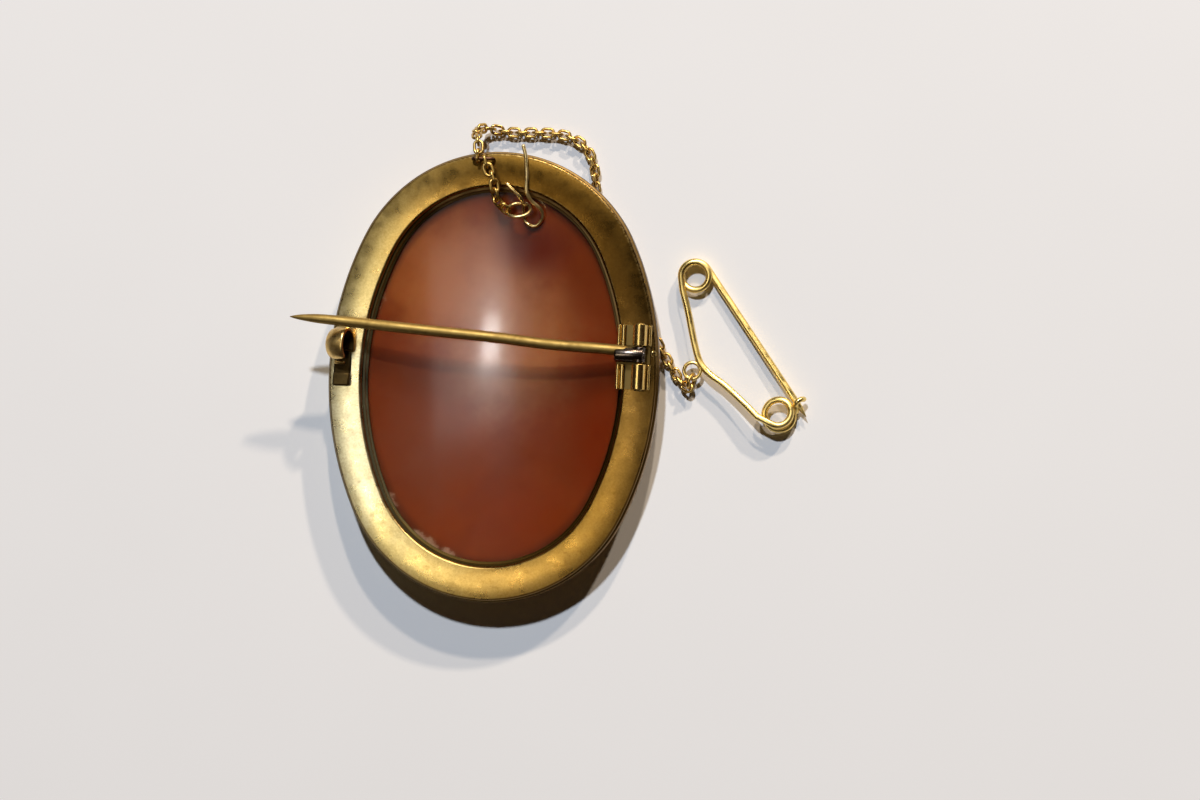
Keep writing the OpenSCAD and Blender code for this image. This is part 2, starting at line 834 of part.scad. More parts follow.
// The end coil falls from the back arm, and its second turn opens a little and drifts down
function after(s, from) = max(s - from, 0) / (1 - from);
function end_coil_point(s) = around(
    end_coil_at - [0, end_coil_drift * after(s, end_coil_drift_from), 0],
    end_coil_r + end_coil_open * after(s, end_coil_open_from),
    end_coil_from + end_coil_turn * s,
    safety_top + end_coil_lift - end_coil_fall * s);
arm_way = [sin(arm_turn), -cos(arm_turn), 0];
safety_route = concat(
    [for (s = [1, 0.975, 0.94, 0.9, 0.7, 0.5, 0.3, 0.12])
        coil_point(0) + arm_way * safety_l * s + [0, 0, arm_lift * s]],
    [for (k = [0 : coil_steps]) coil_point(k / coil_steps)],
    spline(back_arm, 2),
    [for (k = [0 : end_coil_steps]) end_coil_point(k / end_coil_steps)],
    end_hook
);

// The wire tapers to its point, and its hooked end is a little thinner
point_taper = [0.08, 0.35, 0.75];
hook_taper = 0.8;

module safety_pin() {
    n = len(safety_route);
    shares = [
        for (i = [0 : n - 1])
            i < len(point_taper) ? point_taper[i] : i > n - 4 ? hook_taper : 1
    ];
    radii = shares * safety_wire / 2;
    color(BRASS) {
        wire(safety_route, radii, 8);
        ring(eye_r, eye_wire, eye_at, [0, 0, 0]);
    }
}

frame();
shell();
hinge_rivet();
pin();
chain();
hook_chain();
hook_ring();
wire_hook();
safety_pin();
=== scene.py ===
"""Oval shell cameo brooch, lying face down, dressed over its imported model.

Lengths in the classes are millimetres, in the model's own frame: the oval's centre on the
floor is the origin, +X points to the hinge, +Y to the end with the chain and +Z out of the
back. Meshes are scaled to metres when they become objects.
"""
import logging
import math
from collections.abc import Callable, Iterable, Sequence
from dataclasses import dataclass, field
from enum import Enum
from typing import NamedTuple

import bmesh
import bpy
import numpy as np
from mathutils import Euler, Matrix, Vector


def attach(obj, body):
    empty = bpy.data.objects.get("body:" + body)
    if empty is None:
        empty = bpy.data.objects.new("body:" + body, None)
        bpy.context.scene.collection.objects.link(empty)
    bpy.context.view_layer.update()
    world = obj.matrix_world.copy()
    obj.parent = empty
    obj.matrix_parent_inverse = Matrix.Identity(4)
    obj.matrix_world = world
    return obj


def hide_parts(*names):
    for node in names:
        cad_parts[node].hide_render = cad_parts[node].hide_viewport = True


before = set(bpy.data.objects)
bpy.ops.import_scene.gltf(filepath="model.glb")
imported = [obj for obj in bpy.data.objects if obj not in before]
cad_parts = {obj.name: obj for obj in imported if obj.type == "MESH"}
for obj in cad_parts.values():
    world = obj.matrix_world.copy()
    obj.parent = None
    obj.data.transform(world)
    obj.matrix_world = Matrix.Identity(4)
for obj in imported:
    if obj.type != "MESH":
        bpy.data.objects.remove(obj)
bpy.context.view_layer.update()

MM = 0.001
Colour = tuple[float, float, float]
Place = tuple[float, float, float]
Flat = tuple[float, float]
Socket = bpy.types.NodeSocket
Tree = bpy.types.NodeTree
Material = bpy.types.Material
log = logging.getLogger("brooch")


class Body(Enum):
    """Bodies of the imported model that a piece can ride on."""

    ROOT = "root"
    PIN = "pin"


class Slot(Enum):
    """Material slots of the record."""

    GILT = "gilt_brass"
    SHELL = "carved_shell"
    PIN = "pin_metal"
    CHAIN = "chain_brass"
    SAFETY = "safety_brass"


class Wiring:
    """Adds nodes to one tree and joins their sockets."""

    # Numbers of the colour sockets of a Mix node: factor, first and second colour, result
    MIX_INPUTS = (0, 6, 7)
    MIX_RESULT = 2

    def __init__(self, tree: Tree) -> None:
        """Keep the tree that the nodes go into."""
        self.tree = tree

    def feed(self, socket: Socket, value: object) -> None:
        """Join an input to another socket, or set it to a plain value.

        Args:
            socket: The input.
            value: The other socket or the value.
        """
        if isinstance(value, Socket):
            self.tree.links.new(value, socket)
        else:
            socket.default_value = value

    def add(self, kind: str, inputs: dict | None = None, out: int | str = 0,
            **settings: object) -> Socket:
        """Add a node, set its inputs and give back one of its outputs.

        Args:
            kind: The node's type name.
            inputs: Values or sockets for the inputs, by name or number.
            out: Number or name of the output to give back.
            **settings: Properties of the node.

        Returns:
            The chosen output socket.
        """
        node = self.tree.nodes.new(kind)
        for name, value in settings.items():
            setattr(node, name, value)
        for name, value in (inputs or {}).items():
            self.feed(node.inputs[name], value)
        return node.outputs[out]

    def maths(self, operation: str, *values: object, clamp: bool = False) -> Socket:
        """Add a Math node of the operation on the values."""
        return self.add("ShaderNodeMath", dict(enumerate(values)), operation=operation,
                        use_clamp=clamp)

    def between(self, value: object, low: float, high: float, to_low: float = 0.0,
                to_high: float = 1.0) -> Socket:
        """Map a value smoothly from low..high to to_low..to_high."""
        return self.add("ShaderNodeMapRange", {"Value": value, "From Min": low, "From Max": high,
                                               "To Min": to_low, "To Max": to_high},
                        interpolation_type="SMOOTHSTEP")

    def mix(self, mask: object, first: object, second: object, blend: str = "MIX") -> Socket:
        """Mix two colours by a mask."""
        return self.add("ShaderNodeMix", dict(zip(self.MIX_INPUTS, (mask, first, second))),
                        self.MIX_RESULT, data_type="RGBA", blend_type=blend)

    def tinted(self, colour: object, tint: object) -> Socket:
        """Multiply a colour by a tint."""
        return self.mix(1.0, colour, tint, "MULTIPLY")

    def noise(self, vector: object, scale: object, detail: float = 3.0,
              rough: float = 0.55) -> Socket:
        """Add a noise of the given scale, in turns for each metre."""
        return self.add("ShaderNodeTexNoise", {"Vector": vector, "Scale": scale,
                                               "Detail": detail, "Roughness": rough})

    def ramp(self, value: object, stops: Sequence[tuple[float, Colour]]) -> Socket:
        """Add a smooth colour ramp with the given stops of share and colour.

        Args:
            value: Share along the ramp.
            stops: Share and colour of each.

        Returns:
            The ramp's colour.
        """
        result = self.add("ShaderNodeValToRGB", {0: value})
        ramp = result.node.color_ramp
        ramp.interpolation = "B_SPLINE"
        while len(ramp.elements) < len(stops):
            ramp.elements.new(0.5)
        for mark, (share, colour) in zip(ramp.elements, stops):
            mark.position = share
            mark.color = rgb(*colour)
        return result

    def attribute(self, name: str) -> Socket:
        """Read one of the mesh's own named values."""
        return self.add("ShaderNodeAttribute", out="Fac", attribute_name=name)

    def group(self, tree: Tree, **inputs: object) -> bpy.types.NodeOutputs:
        """Place a shared group with its own inputs and give back its outputs."""
        return self.add("ShaderNodeGroup", inputs, node_tree=tree).node.outputs


def rgb(red: float, green: float, blue: float) -> tuple[float, float, float, float]:
    """Give a linear colour with full alpha."""
    return (red, green, blue, 1.0)


def shaded(colour: Colour, share: float) -> tuple[float, float, float, float]:
    """Give a darker share of a colour, with full alpha."""
    return rgb(*(share * part for part in colour))


def open_tree(kind: str, name: str, inputs: dict[str, str], outputs: dict[str, str]
              ) -> tuple[Wiring, bpy.types.NodeOutputs, bpy.types.NodeInputs]:
    """Make an empty tree with named inputs and outputs.

    Args:
        kind: The tree's type name.
        name: The tree's name.
        inputs: Kind of socket of each input.
        outputs: Kind of socket of each output.

    Returns:
        The wiring of the tree, the sockets that it is given and those that it puts out.
    """
    tree = bpy.data.node_groups.new(name, kind)
    for way, sockets in (("INPUT", inputs), ("OUTPUT", outputs)):
        for label, socket in sockets.items():
            tree.interface.new_socket(label, in_out=way, socket_type="NodeSocket" + socket)
    given, out = (tree.nodes.new(node) for node in ("NodeGroupInput", "NodeGroupOutput"))
    return Wiring(tree), given.outputs, out.inputs


class Effects:
    """Shader groups that several finishes share, built once."""

    # Pits: their cells for each grain, the reach of a pit in its cell, and where they are sparse
    PIT_CELLS = 0.55
    PIT_REACH = (0.05, 0.28)
    SPARSE_SCALE = 900.0
    SPARSE_LIMITS = (0.5, 0.72)
    # Stains: small clouds for each large one, the weight of both, and how soft the edge is
    SMALL_CLOUDS = 6.0
    SMALL_WEIGHT = 0.45
    LARGE_WEIGHT = 0.75
    COVER_WEIGHT = 0.8
    STAIN_EDGE = 0.3
    # Makes the oval's outline nearly a circle before a direction is taken from its centre
    OVAL_SQUEEZE = (1.0, 0.8, 0.0)

    def __init__(self) -> None:
        """Build the groups."""
        self.grain = self._grain()
        self.tarnish = self._tarnish()
        self.facing = self._facing()

    def _grain(self) -> Tree:
        """Fine satin grain with pits: a height and a mask of dark specks.

        Returns:
            The group's tree.
        """
        wires, given, out = open_tree(
            "ShaderNodeTree", "SatinGrain", {"Vector": "Vector", "Size": "Float", "Pits": "Float"},
            {"Height": "Float", "Specks": "Float"})
        scale = wires.maths("DIVIDE", 1.0, wires.maths("MULTIPLY", given["Size"], MM))
        fine = wires.noise(given["Vector"], scale, 4.0, 0.7)
        cells = wires.add("ShaderNodeTexVoronoi", {
            "Vector": given["Vector"], "Scale": wires.maths("MULTIPLY", scale, self.PIT_CELLS)})
        pit = wires.between(cells, *self.PIT_REACH, 1.0, 0.0)
        sparse = wires.between(wires.noise(given["Vector"], self.SPARSE_SCALE, 2.0),
                               *self.SPARSE_LIMITS)
        specks = wires.maths("MULTIPLY", wires.maths("MULTIPLY", pit, sparse), given["Pits"])
        wires.feed(out["Height"], wires.maths("SUBTRACT", fine, specks))
        wires.feed(out["Specks"], specks)
        return wires.tree

    def _tarnish(self) -> Tree:
        """Cloudy stains of tarnish: a mask from small and large clouds.

        Returns:
            The group's tree.
        """
        wires, given, out = open_tree(
            "ShaderNodeTree", "Tarnish", {"Vector": "Vector", "Size": "Float", "Cover": "Float"},
            {"Mask": "Float"})
        scale = wires.maths("DIVIDE", 1.0, wires.maths("MULTIPLY", given["Size"], MM))
        large = wires.noise(given["Vector"], scale, 2.0, 0.5)
        small = wires.noise(given["Vector"], wires.maths("MULTIPLY", scale, self.SMALL_CLOUDS),
                            3.0, 0.5)
        cloud = wires.maths("MULTIPLY_ADD", small, self.SMALL_WEIGHT,
                            wires.maths("MULTIPLY", large, self.LARGE_WEIGHT))
        edge = wires.maths("SUBTRACT", 1.0,
                           wires.maths("MULTIPLY", given["Cover"], self.COVER_WEIGHT))
        wires.feed(out["Mask"], wires.maths("DIVIDE", wires.maths("SUBTRACT", cloud, edge),
                                            self.STAIN_EDGE, clamp=True))
        return wires.tree

    def _facing(self) -> Tree:
        """How far a place lies round the oval towards one direction: 1 there, 0 opposite.

        Returns:
            The group's tree.
        """
        wires, given, out = open_tree("ShaderNodeTree", "RoundTheOval",
                                      {"Vector": "Vector", "Towards": "Vector"},
                                      {"Share": "Float"})
        flat = wires.add("ShaderNodeVectorMath", {0: given["Vector"], 1: self.OVAL_SQUEEZE},
                         operation="MULTIPLY")
        way = wires.add("ShaderNodeVectorMath", {0: flat}, operation="NORMALIZE")
        dot = wires.add("ShaderNodeVectorMath", {0: way, 1: given["Towards"]}, "Value",
                        operation="DOT_PRODUCT")
        wires.feed(out["Share"], wires.maths("MULTIPLY_ADD", dot, 0.5, 0.5))
        return wires.tree


class Surface:
    """A material in the making: its wiring, its shader and the place on the piece."""

    def __init__(self, name: str) -> None:
        """Start the material.

        Args:
            name: The material's name.
        """
        self.material = bpy.data.materials.new(name)
        self.material.use_nodes = True
        self.wires = Wiring(self.material.node_tree)
        self.place = self.wires.add("ShaderNodeTexCoord", out="Object")

    def bump(self, height: Socket, depth: float, strength: float = 1.0) -> Socket:
        """Turn a height into a normal, for a depth in millimetres."""
        return self.wires.add("ShaderNodeBump", {"Height": height, "Strength": strength,
                                                 "Distance": depth * MM})

    def finish(self, inputs: dict[str, object]) -> Material:
        """Feed the shader's own sockets.

        Args:
            inputs: Sockets or plain values for the shader's inputs, by name.

        Returns:
            The finished material.
        """
        shader = self.material.node_tree.nodes["Principled BSDF"]
        for name, value in inputs.items():
            self.wires.feed(shader.inputs[name], value)
        return self.material


@dataclass(frozen=True)
class Metal:
    """Worn metal: a clean colour, a tarnished colour and how rough, grainy and stained it is.

    Grain and stain sizes and the grain's depth are in millimetres.
    """

    name: str
    clean: Colour
    tarnished: Colour
    rough: float = 0.32
    rough_spread: float = 0.12
    grain_size: float = 0.12
    grain_depth: float = 0.006
    pits: float = 0.6
    stain_size: float = 2.5
    stain_cover: float = 0.55
    rubbed: Colour = (0.9, 0.72, 0.4)

    # Weight of the specks, and shares of the tarnished colour in specks and in grime and painted
    # shade
    SPECK_WEIGHT = 0.8
    SPECK_SHADE = 0.35
    DIRT_AND_SHADE_SHARE = 0.1
    # Noises, in turns for each metre, that break up the rubbed edges and the polish
    WEAR_SCALE = 1500.0
    PATCH_SCALE = 420.0
    # What stains and the grime-and-shade mask add to the roughness
    STAIN_ROUGH = 0.1
    DIRT_AND_SHADE_ROUGH = 0.3

    def material(self, effects: Effects) -> Material:
        """Build the material.

        Args:
            effects: The shared shader groups.

        Returns:
            The finished material.
        """
        making = Surface(self.name)
        colour, rough, height = self.surface(making, effects)
        return making.finish({"Base Color": colour, "Roughness": rough, "Metallic": 1.0,
                              "Normal": making.bump(height, self.grain_depth)})

    def surface(self, making: Surface, effects: Effects) -> tuple[Socket, ...]:
        """Wire up the colour, roughness and height.

        Args:
            making: The material in the making.
            effects: The shared shader groups.

        Returns:
            Sockets of the base colour, the roughness and the bump's height.
        """
        wires, place = making.wires, making.place
        grain = wires.group(effects.grain, Vector=place, Size=self.grain_size, Pits=self.pits)
        stain = wires.group(effects.tarnish, Vector=place, Size=self.stain_size,
                            Cover=self.stain_cover)["Mask"]
        dirt = wires.attribute("dirt")
        colour = wires.mix(stain, rgb(*self.clean), rgb(*self.tarnished))
        colour = wires.mix(wires.maths("MULTIPLY", grain["Specks"], self.SPECK_WEIGHT), colour,
                           shaded(self.tarnished, self.SPECK_SHADE))
        broken = wires.between(wires.noise(place, self.WEAR_SCALE, 3.0), 0.3, 0.6)
        colour = wires.mix(wires.maths("MULTIPLY", wires.attribute("wear"), broken), colour,
                           rgb(*self.rubbed))
        # Grime and painted shade: recesses, undersides and hollows darkened to a near-black
        # tarnish
        colour = wires.mix(dirt, colour, shaded(self.tarnished, self.DIRT_AND_SHADE_SHARE))
        rough = wires.between(wires.noise(place, self.PATCH_SCALE, 4.0), 0.3, 0.7,
                              self.rough - self.rough_spread, self.rough + self.rough_spread)
        rough = wires.maths("MULTIPLY_ADD", stain, self.STAIN_ROUGH, rough, clamp=True)
        rough = wires.maths("MULTIPLY_ADD", dirt, self.DIRT_AND_SHADE_ROUGH, rough, clamp=True)
        return colour, rough, grain["Height"]


@dataclass(frozen=True)
class GiltBorder(Metal):
    """Satin gilt brass with painted light: a pale painted sheen towards one side of the oval,
    painted olive shade on the other.
    """

    # Colours of the painted light, from the painted-shade side to the painted-sheen side, each
    # with its share of the way round
    painted_light_tones: tuple[tuple[float, Colour], ...] = (
        (0.0, (0.2, 0.115, 0.03)), (0.2, (0.31, 0.17, 0.03)), (0.4, (0.37, 0.215, 0.045)),
        (0.6, (0.53, 0.33, 0.085)), (0.78, (0.64, 0.46, 0.16)), (0.92, (0.74, 0.61, 0.28)),
        (1.0, (0.95, 0.89, 0.64)))
    # Directions of the painted sheen and of the painted shade round the oval, and the tint of the
    # painted shade
    towards: Place = (-0.966, -0.259, 0.0)
    painted_shade_towards: Place = (0.5, 0.866, 0.0)
    shade_tint: Colour = (0.32, 0.28, 0.22)
    mottle_tint: Colour = (0.81, 0.76, 0.65)
    mottle_size: float = 0.3
    # Painted shade on the rounded edges of the pale side, a painted highlight on those of the dark
    # side, and a painted highlight line on the inner lip
    rim_painted_shade: Colour = (0.2, 0.11, 0.03)
    rim_painted_highlight: Colour = (0.5, 0.33, 0.11)
    lip_painted_highlight: Colour = (0.4, 0.25, 0.09)

    # Noises, in turns for each metre, that shift the painted light tones and break up the painted
    # rim highlight
    CLOUD_SCALE = 210.0
    CLOUD_SHIFT = 0.16
    RIM_SCALE = 3200.0

    def surface(self, making: Surface, effects: Effects) -> tuple[Socket, ...]:
        """Wire up the colour, roughness and height, with painted light and shade round the oval.

        Args:
            making: The material in the making.
            effects: The shared shader groups.

        Returns:
            Sockets of the base colour, the roughness and the bump's height.
        """
        wires, place = making.wires, making.place
        colour, rough, height = super().surface(making, effects)
        cloudy = wires.maths("MULTIPLY_ADD", wires.noise(place, self.CLOUD_SCALE, 5.0, 0.6),
                             self.CLOUD_SHIFT, -self.CLOUD_SHIFT / 2)
        pale, dark = (wires.maths("ADD", cloudy,
                                  wires.group(effects.facing, Vector=place, Towards=way)["Share"])
                      for way in (self.towards, self.painted_shade_towards))
        # Painted light: the ramp paints a pale sheen towards one side, and the shade mask paints
        # dark olive shade on the other
        shade = wires.between(dark, 0.62, 0.95)
        tone = wires.ramp(pale, self.painted_light_tones)
        tone = wires.mix(shade, tone, wires.tinted(tone, rgb(*self.shade_tint)))
        mottle = wires.between(wires.noise(place, 1.0 / (self.mottle_size * MM), 5.0, 0.75),
                               0.32, 0.68)
        tone = wires.mix(mottle, wires.tinted(tone, rgb(*self.mottle_tint)), tone)
        colour = wires.tinted(tone, colour)
        # Painted shade on the rounded edges where the border is pale, and a broken painted
        # highlight along them where it is dark
        rim = wires.attribute("rim")
        brown = wires.maths("MULTIPLY", rim, wires.between(shade, 0.0, 0.5, 0.8, 0.0))
        colour = wires.mix(brown, colour, rgb(*self.rim_painted_shade))
        light = wires.maths("MULTIPLY", rim, wires.between(shade, 0.3, 0.8, 0.0, 0.35))
        broken = wires.between(wires.noise(place, self.RIM_SCALE, 2.0), 0.35, 0.65)
        colour = wires.mix(wires.maths("MULTIPLY", light, broken), colour, rgb(*self.rim_painted_highlight))
        # A painted highlight line on the inner lip of the dark side, laid over the darker grime
        # and painted shade
        lip_painted_highlight = wires.maths("MULTIPLY", wires.attribute("dirt"),
                          wires.between(shade, 0.2, 0.7, 0.0, 0.55))
        return wires.mix(lip_painted_highlight, colour, rgb(*self.lip_painted_highlight)), rough, height


class Spot(NamedTuple):
    """A soft oval patch of colour: middle and half sizes in millimetres, colour and weight."""

    at: Flat
    size: Flat
    colour: Colour
    weight: float


@dataclass(frozen=True)
class CarvedShell:
    """Polished banded shell, seen from its hollow back, with the carved layer in ivory."""

    name: str = "carved_shell"
    ivory: Colour = (0.78, 0.66, 0.52)
    old_ivory: Colour = (0.66, 0.47, 0.32)
    body: Colour = (0.185, 0.041, 0.01)
    deep_body: Colour = (0.15, 0.031, 0.008)
    # Painted shade along the shell's outline, where the rim's lip overhangs it
    edge: Colour = (0.06, 0.016, 0.006)
    chips: Colour = (0.46, 0.34, 0.23)
    glow_depth: float = 2.4
    glow_reach: Colour = (1.0, 0.3, 0.12)
    spots: tuple[Spot, ...] = (
        Spot((-7.0, 13.0), (13.0, 13.0), (0.35, 0.13, 0.036), 0.9),
        Spot((3.0, 5.0), (12.0, 15.0), (0.33, 0.145, 0.06), 0.9),
        Spot((-10.0, -9.0), (9.0, 14.0), (0.17, 0.05, 0.024), 0.85),
        Spot((15.0, -8.0), (6.0, 13.0), (0.15, 0.02, 0.003), 0.85),
        Spot((5.0, 17.5), (7.5, 5.0), (0.11, 0.014, 0.002), 0.95),
        Spot((13.0, 13.0), (6.0, 7.0), (0.15, 0.034, 0.009), 0.7),
        Spot((4.0, -18.0), (11.0, 7.0), (0.18, 0.032, 0.006), 0.8),
        # A painted highlight: a pale cloud on the hollow's gloss near its middle
        Spot((0.0, 6.0), (4.0, 5.0), (0.44, 0.28, 0.18), 0.5),
    )

    # Noises in turns for each metre
    IVORY_SCALE = 260.0
    POLISH_SCALE = 160.0
    SCRATCH_SCALE = 2600.0
    CHIP_SCALE = 600.0
    SPOT_SCALE = 190.0
    BAND_SCALE = 120.0

    def material(self) -> Material:
        """Build the material.

        Returns:
            The finished material.
        """
        making = Surface(self.name)
        wires, place = making.wires, making.place
        carved = wires.between(wires.attribute("relief"), 0.03, 0.22)
        aged = wires.between(wires.noise(place, self.IVORY_SCALE, 3.0), 0.35, 0.7)
        colour = wires.mix(carved, self._body_colour(making),
                           wires.mix(aged, rgb(*self.ivory), rgb(*self.old_ivory)))
        chip = self._chips(making)
        # Painted shade along the outline, under the rim's lip
        colour = wires.mix(wires.maths("MULTIPLY", wires.attribute("edge"), 0.8), colour,
                           rgb(*self.edge))
        colour = wires.mix(wires.maths("MULTIPLY", chip, 0.5), colour, rgb(*self.chips))
        polish = wires.between(wires.noise(place, self.POLISH_SCALE, 1.0), 0.3, 0.7, 0.17, 0.23)
        rough = wires.maths("MULTIPLY_ADD", wires.maths("MAXIMUM", carved, chip), 0.28, polish)
        normal = making.bump(wires.noise(place, self.SCRATCH_SCALE, 2.0), 0.004, 0.25)
        return making.finish({
            "Base Color": colour, "Roughness": rough, "Normal": normal, "IOR": 1.42,
            "Subsurface Weight": 0.7, "Subsurface Scale": self.glow_depth * MM,
            "Subsurface Radius": self.glow_reach, "Coat Weight": 0.3, "Coat Roughness": 0.09})

    def _chips(self, making: Surface) -> Socket:
        """Give a mask of the whitish chips along the worn stretches of the shell's edge.

        Args:
            making: The material in the making.

        Returns:
            The mask.
        """
        wires, place = making.wires, making.place
        near = wires.attribute("chip")
        ragged = wires.maths("MULTIPLY_ADD", wires.noise(place, self.CHIP_SCALE, 3.0, 0.6), 1.7,
                             -0.95)
        chips = wires.between(wires.maths("ADD", near, ragged), 0.35, 1.1)
        return wires.maths("MULTIPLY", chips, wires.between(near, 0.0, 0.1))

    def _spot(self, making: Surface, spot: Spot) -> Socket:
        """Give a soft oval mask with a ragged edge.

        Args:
            making: The material in the making.
            spot: The spot.

        Returns:
            A mask that has the spot's weight at its centre and is 0 at its edge.
        """
        wires, place = making.wires, making.place
        (x, y), (half_w, half_l) = spot.at, spot.size
        near = wires.add("ShaderNodeMapping", {
            "Vector": place, "Location": (-x / half_w, -y / half_l, 0.0),
            "Scale": (1.0 / (half_w * MM), 1.0 / (half_l * MM), 0.0)})
        far = wires.add("ShaderNodeVectorMath", {0: near}, "Value", operation="LENGTH")
        ragged = wires.maths("MULTIPLY_ADD", wires.noise(place, self.SPOT_SCALE, 3.0), 0.7, -0.35)
        inside = wires.between(wires.maths("ADD", far, ragged), 0.15, 1.0, 1.0, 0.0)
        return wires.maths("MULTIPLY", inside, spot.weight)

    def _body_colour(self, making: Surface) -> Socket:
        """Give the banded colours of the shell, from soft spots over a red brown, one of them a
        painted highlight.

        Args:
            making: The material in the making.

        Returns:
            The colour.
        """
        wires, place = making.wires, making.place
        colour = wires.mix(wires.between(wires.noise(place, self.BAND_SCALE, 3.0), 0.3, 0.7),
                           rgb(*self.body), rgb(*self.deep_body))
        for spot in self.spots:
            colour = wires.mix(self._spot(making, spot), colour, rgb(*spot.colour))
        return colour


@dataclass
class Form:
    """A mesh in the making: points in millimetres, faces, and named values for each point."""

    points: list[Vector] = field(default_factory=list)
    faces: list[tuple[int, ...]] = field(default_factory=list)
    values: dict[str, list[float]] = field(default_factory=dict)

    def add(self, points: Iterable[Vector], faces: Iterable[Sequence[int]],
            **values: Sequence[float] | float) -> "Form":
        """Add points and faces that count from the first new point.

        Args:
            points: The new points.
            faces: Faces of the new points.
            **values: A value for all the new points, or one for each.

        Returns:
            The form itself.
        """
        first = len(self.points)
        new = [Vector(p) for p in points]
        self.points.extend(new)
        self.faces.extend(tuple(i + first for i in face) for face in faces)
        for name in set(self.values) | set(values):
            kept = self.values.setdefault(name, [0.0] * first)
            value = values.get(name, 0.0)
            kept.extend([float(value)] * len(new) if isinstance(value, (int, float)) else value)
        return self

    def loft(self, rings: Sequence[Sequence[Vector]], closed: bool = False,
             **values: Sequence[float] | float) -> "Form":
        """Join rings of equal size by quads, and close the ends.

        Args:
            rings: Rings of points, all with as many points.
            closed: Whether the last ring joins the first.
            **values: A value for all the new points, or one for each.

        Returns:
            The form itself.
        """
        size, count = len(rings[0]), len(rings)
        faces: list[tuple[int, ...]] = []
        for i in range(count if closed else count - 1):
            a, b = i * size, (i + 1) % count * size
            faces += [(a + k, a + (k + 1) % size, b + (k + 1) % size, b + k)
                      for k in range(size)]
        if not closed:
            faces += [tuple(reversed(range(size))), tuple((count - 1) * size + k
                                                          for k in range(size))]
        return self.add([p for ring in rings for p in ring], faces, **values)

    def moved(self, matrix: Matrix) -> "Form":
        """Move every point by the matrix."""
        self.points = [matrix @ p for p in self.points]
        return self

    def join(self, other: "Form") -> "Form":
        """Add another form to this one."""
        return self.add(other.points, other.faces, **other.values)

    def value(self, name: str, rule: Callable[[Vector], float]) -> "Form":
        """Give each point a named value by a rule of its place."""
        self.values[name] = [float(rule(p)) for p in self.points]
        return self

    def build(self, name: str, material: Material, sharp: float = 40.0,
              bevel: float = 0.0) -> bpy.types.Object:
        """Make the object in metres.

        Args:
            name: Name of the piece.
            material: Its material.
            sharp: Angle in degrees above which an edge stays sharp.
            bevel: Width of the bevel on sharp edges in millimetres, or 0.

        Returns:
            The new object.
        """
        mesh = bpy.data.meshes.new(name)
        mesh.from_pydata([p * MM for p in self.points], [], self.faces)
        give_values(mesh, self.values)
        mesh.materials.append(material)
        face_outwards(mesh)
        mesh.shade_smooth()
        mesh.set_sharp_from_angle(angle=math.radians(sharp))
        piece = new_object(name, mesh)
        if bevel > 0.0:
            rounding = piece.modifiers.new("edges", "BEVEL")
            rounding.width = bevel * MM
            rounding.segments = 2
            rounding.limit_method = "ANGLE"
            rounding.angle_limit = math.radians(sharp)
            rounding.use_clamp_overlap = True
        return piece


def new_object(name: str, data: bpy.types.ID) -> bpy.types.Object:
    """Put a mesh or curve into the scene as an object at the origin.

    Args:
        name: Name of the object.
        data: Its data.

    Returns:
        The object.
    """
    made = bpy.data.objects.new(name, data)
    bpy.context.scene.collection.objects.link(made)
    return made


def give_values(mesh: bpy.types.Mesh, values: dict[str, Sequence[float]]) -> None:
    """Give a mesh its named values, one for each point."""
    for label, numbers in values.items():
        mesh.attributes.new(label, "FLOAT", "POINT").data.foreach_set("value", numbers)


def face_outwards(mesh: bpy.types.Mesh) -> None:
    """Turn the faces of each closed part outwards.

    Args:
        mesh: The mesh, which is changed in place.
    """
    work = bmesh.new()
    work.from_mesh(mesh)
    bmesh.ops.recalc_face_normals(work, faces=work.faces)
    work.to_mesh(mesh)
    work.free()


def close_tree(wires: Wiring, geometry: Socket, finish: Socket, out: bpy.types.NodeInputs) -> Tree:
    """End a geometry tree: realise its instances and set their material.

    Args:
        wires: Wiring of the tree.
        geometry: The geometry to put out.
        finish: The tree's input for the material.
        out: What the tree puts out.

    Returns:
        The finished tree.
    """
    real = wires.add("GeometryNodeRealizeInstances", {"Geometry": geometry})
    wires.feed(out["Geometry"], wires.add("GeometryNodeSetMaterial", {"Geometry": real,
                                                                      "Material": finish}))
    return wires.tree


def realised(source: bpy.types.Object, tree: Tree, name: str,
             values: dict[str, object]) -> bpy.types.Mesh:
    """Run a geometry tree on an object, remove the object and give back the plain mesh.

    Args:
        source: Object whose geometry goes in.
        tree: The geometry tree.
        name: Name of the new mesh.
        values: Values of the tree's named inputs.

    Returns:
        The smooth mesh, free of instances and modifiers.
    """
    modifier = source.modifiers.new("make", "NODES")
    modifier.node_group = tree
    for item in tree.interface.items_tree:
        if item.in_out == "INPUT" and item.name in values:
            modifier[item.identifier] = values[item.name]
    bpy.context.view_layer.update()
    graph = bpy.context.evaluated_depsgraph_get()
    mesh = bpy.data.meshes.new_from_object(source.evaluated_get(graph), depsgraph=graph)
    mesh.name = name
    source.modifiers.remove(modifier)
    bpy.data.objects.remove(source)
    mesh.shade_smooth()
    return mesh


def smooth_route(points: Sequence[Sequence[float]], steps: int) -> list[Vector]:
    """Run a smooth curve through the points.

    Args:
        points: Points that the curve passes through.
        steps: Steps from each point to the next.

    Returns:
        Points of the curve.
    """
    p = [Vector(q) for q in points]
    out: list[Vector] = []
    for i in range(len(p) - 1):
        a, b, c, d = p[max(i - 1, 0)], p[i], p[i + 1], p[min(i + 2, len(p) - 1)]
        for k in range(steps):
            t = k / steps
            out.append(0.5 * (2 * b + (c - a) * t + (2 * a - 5 * b + 4 * c - d) * t * t
                              + (3 * b - a - 3 * c + d) * t ** 3))
    return out + [p[-1]]


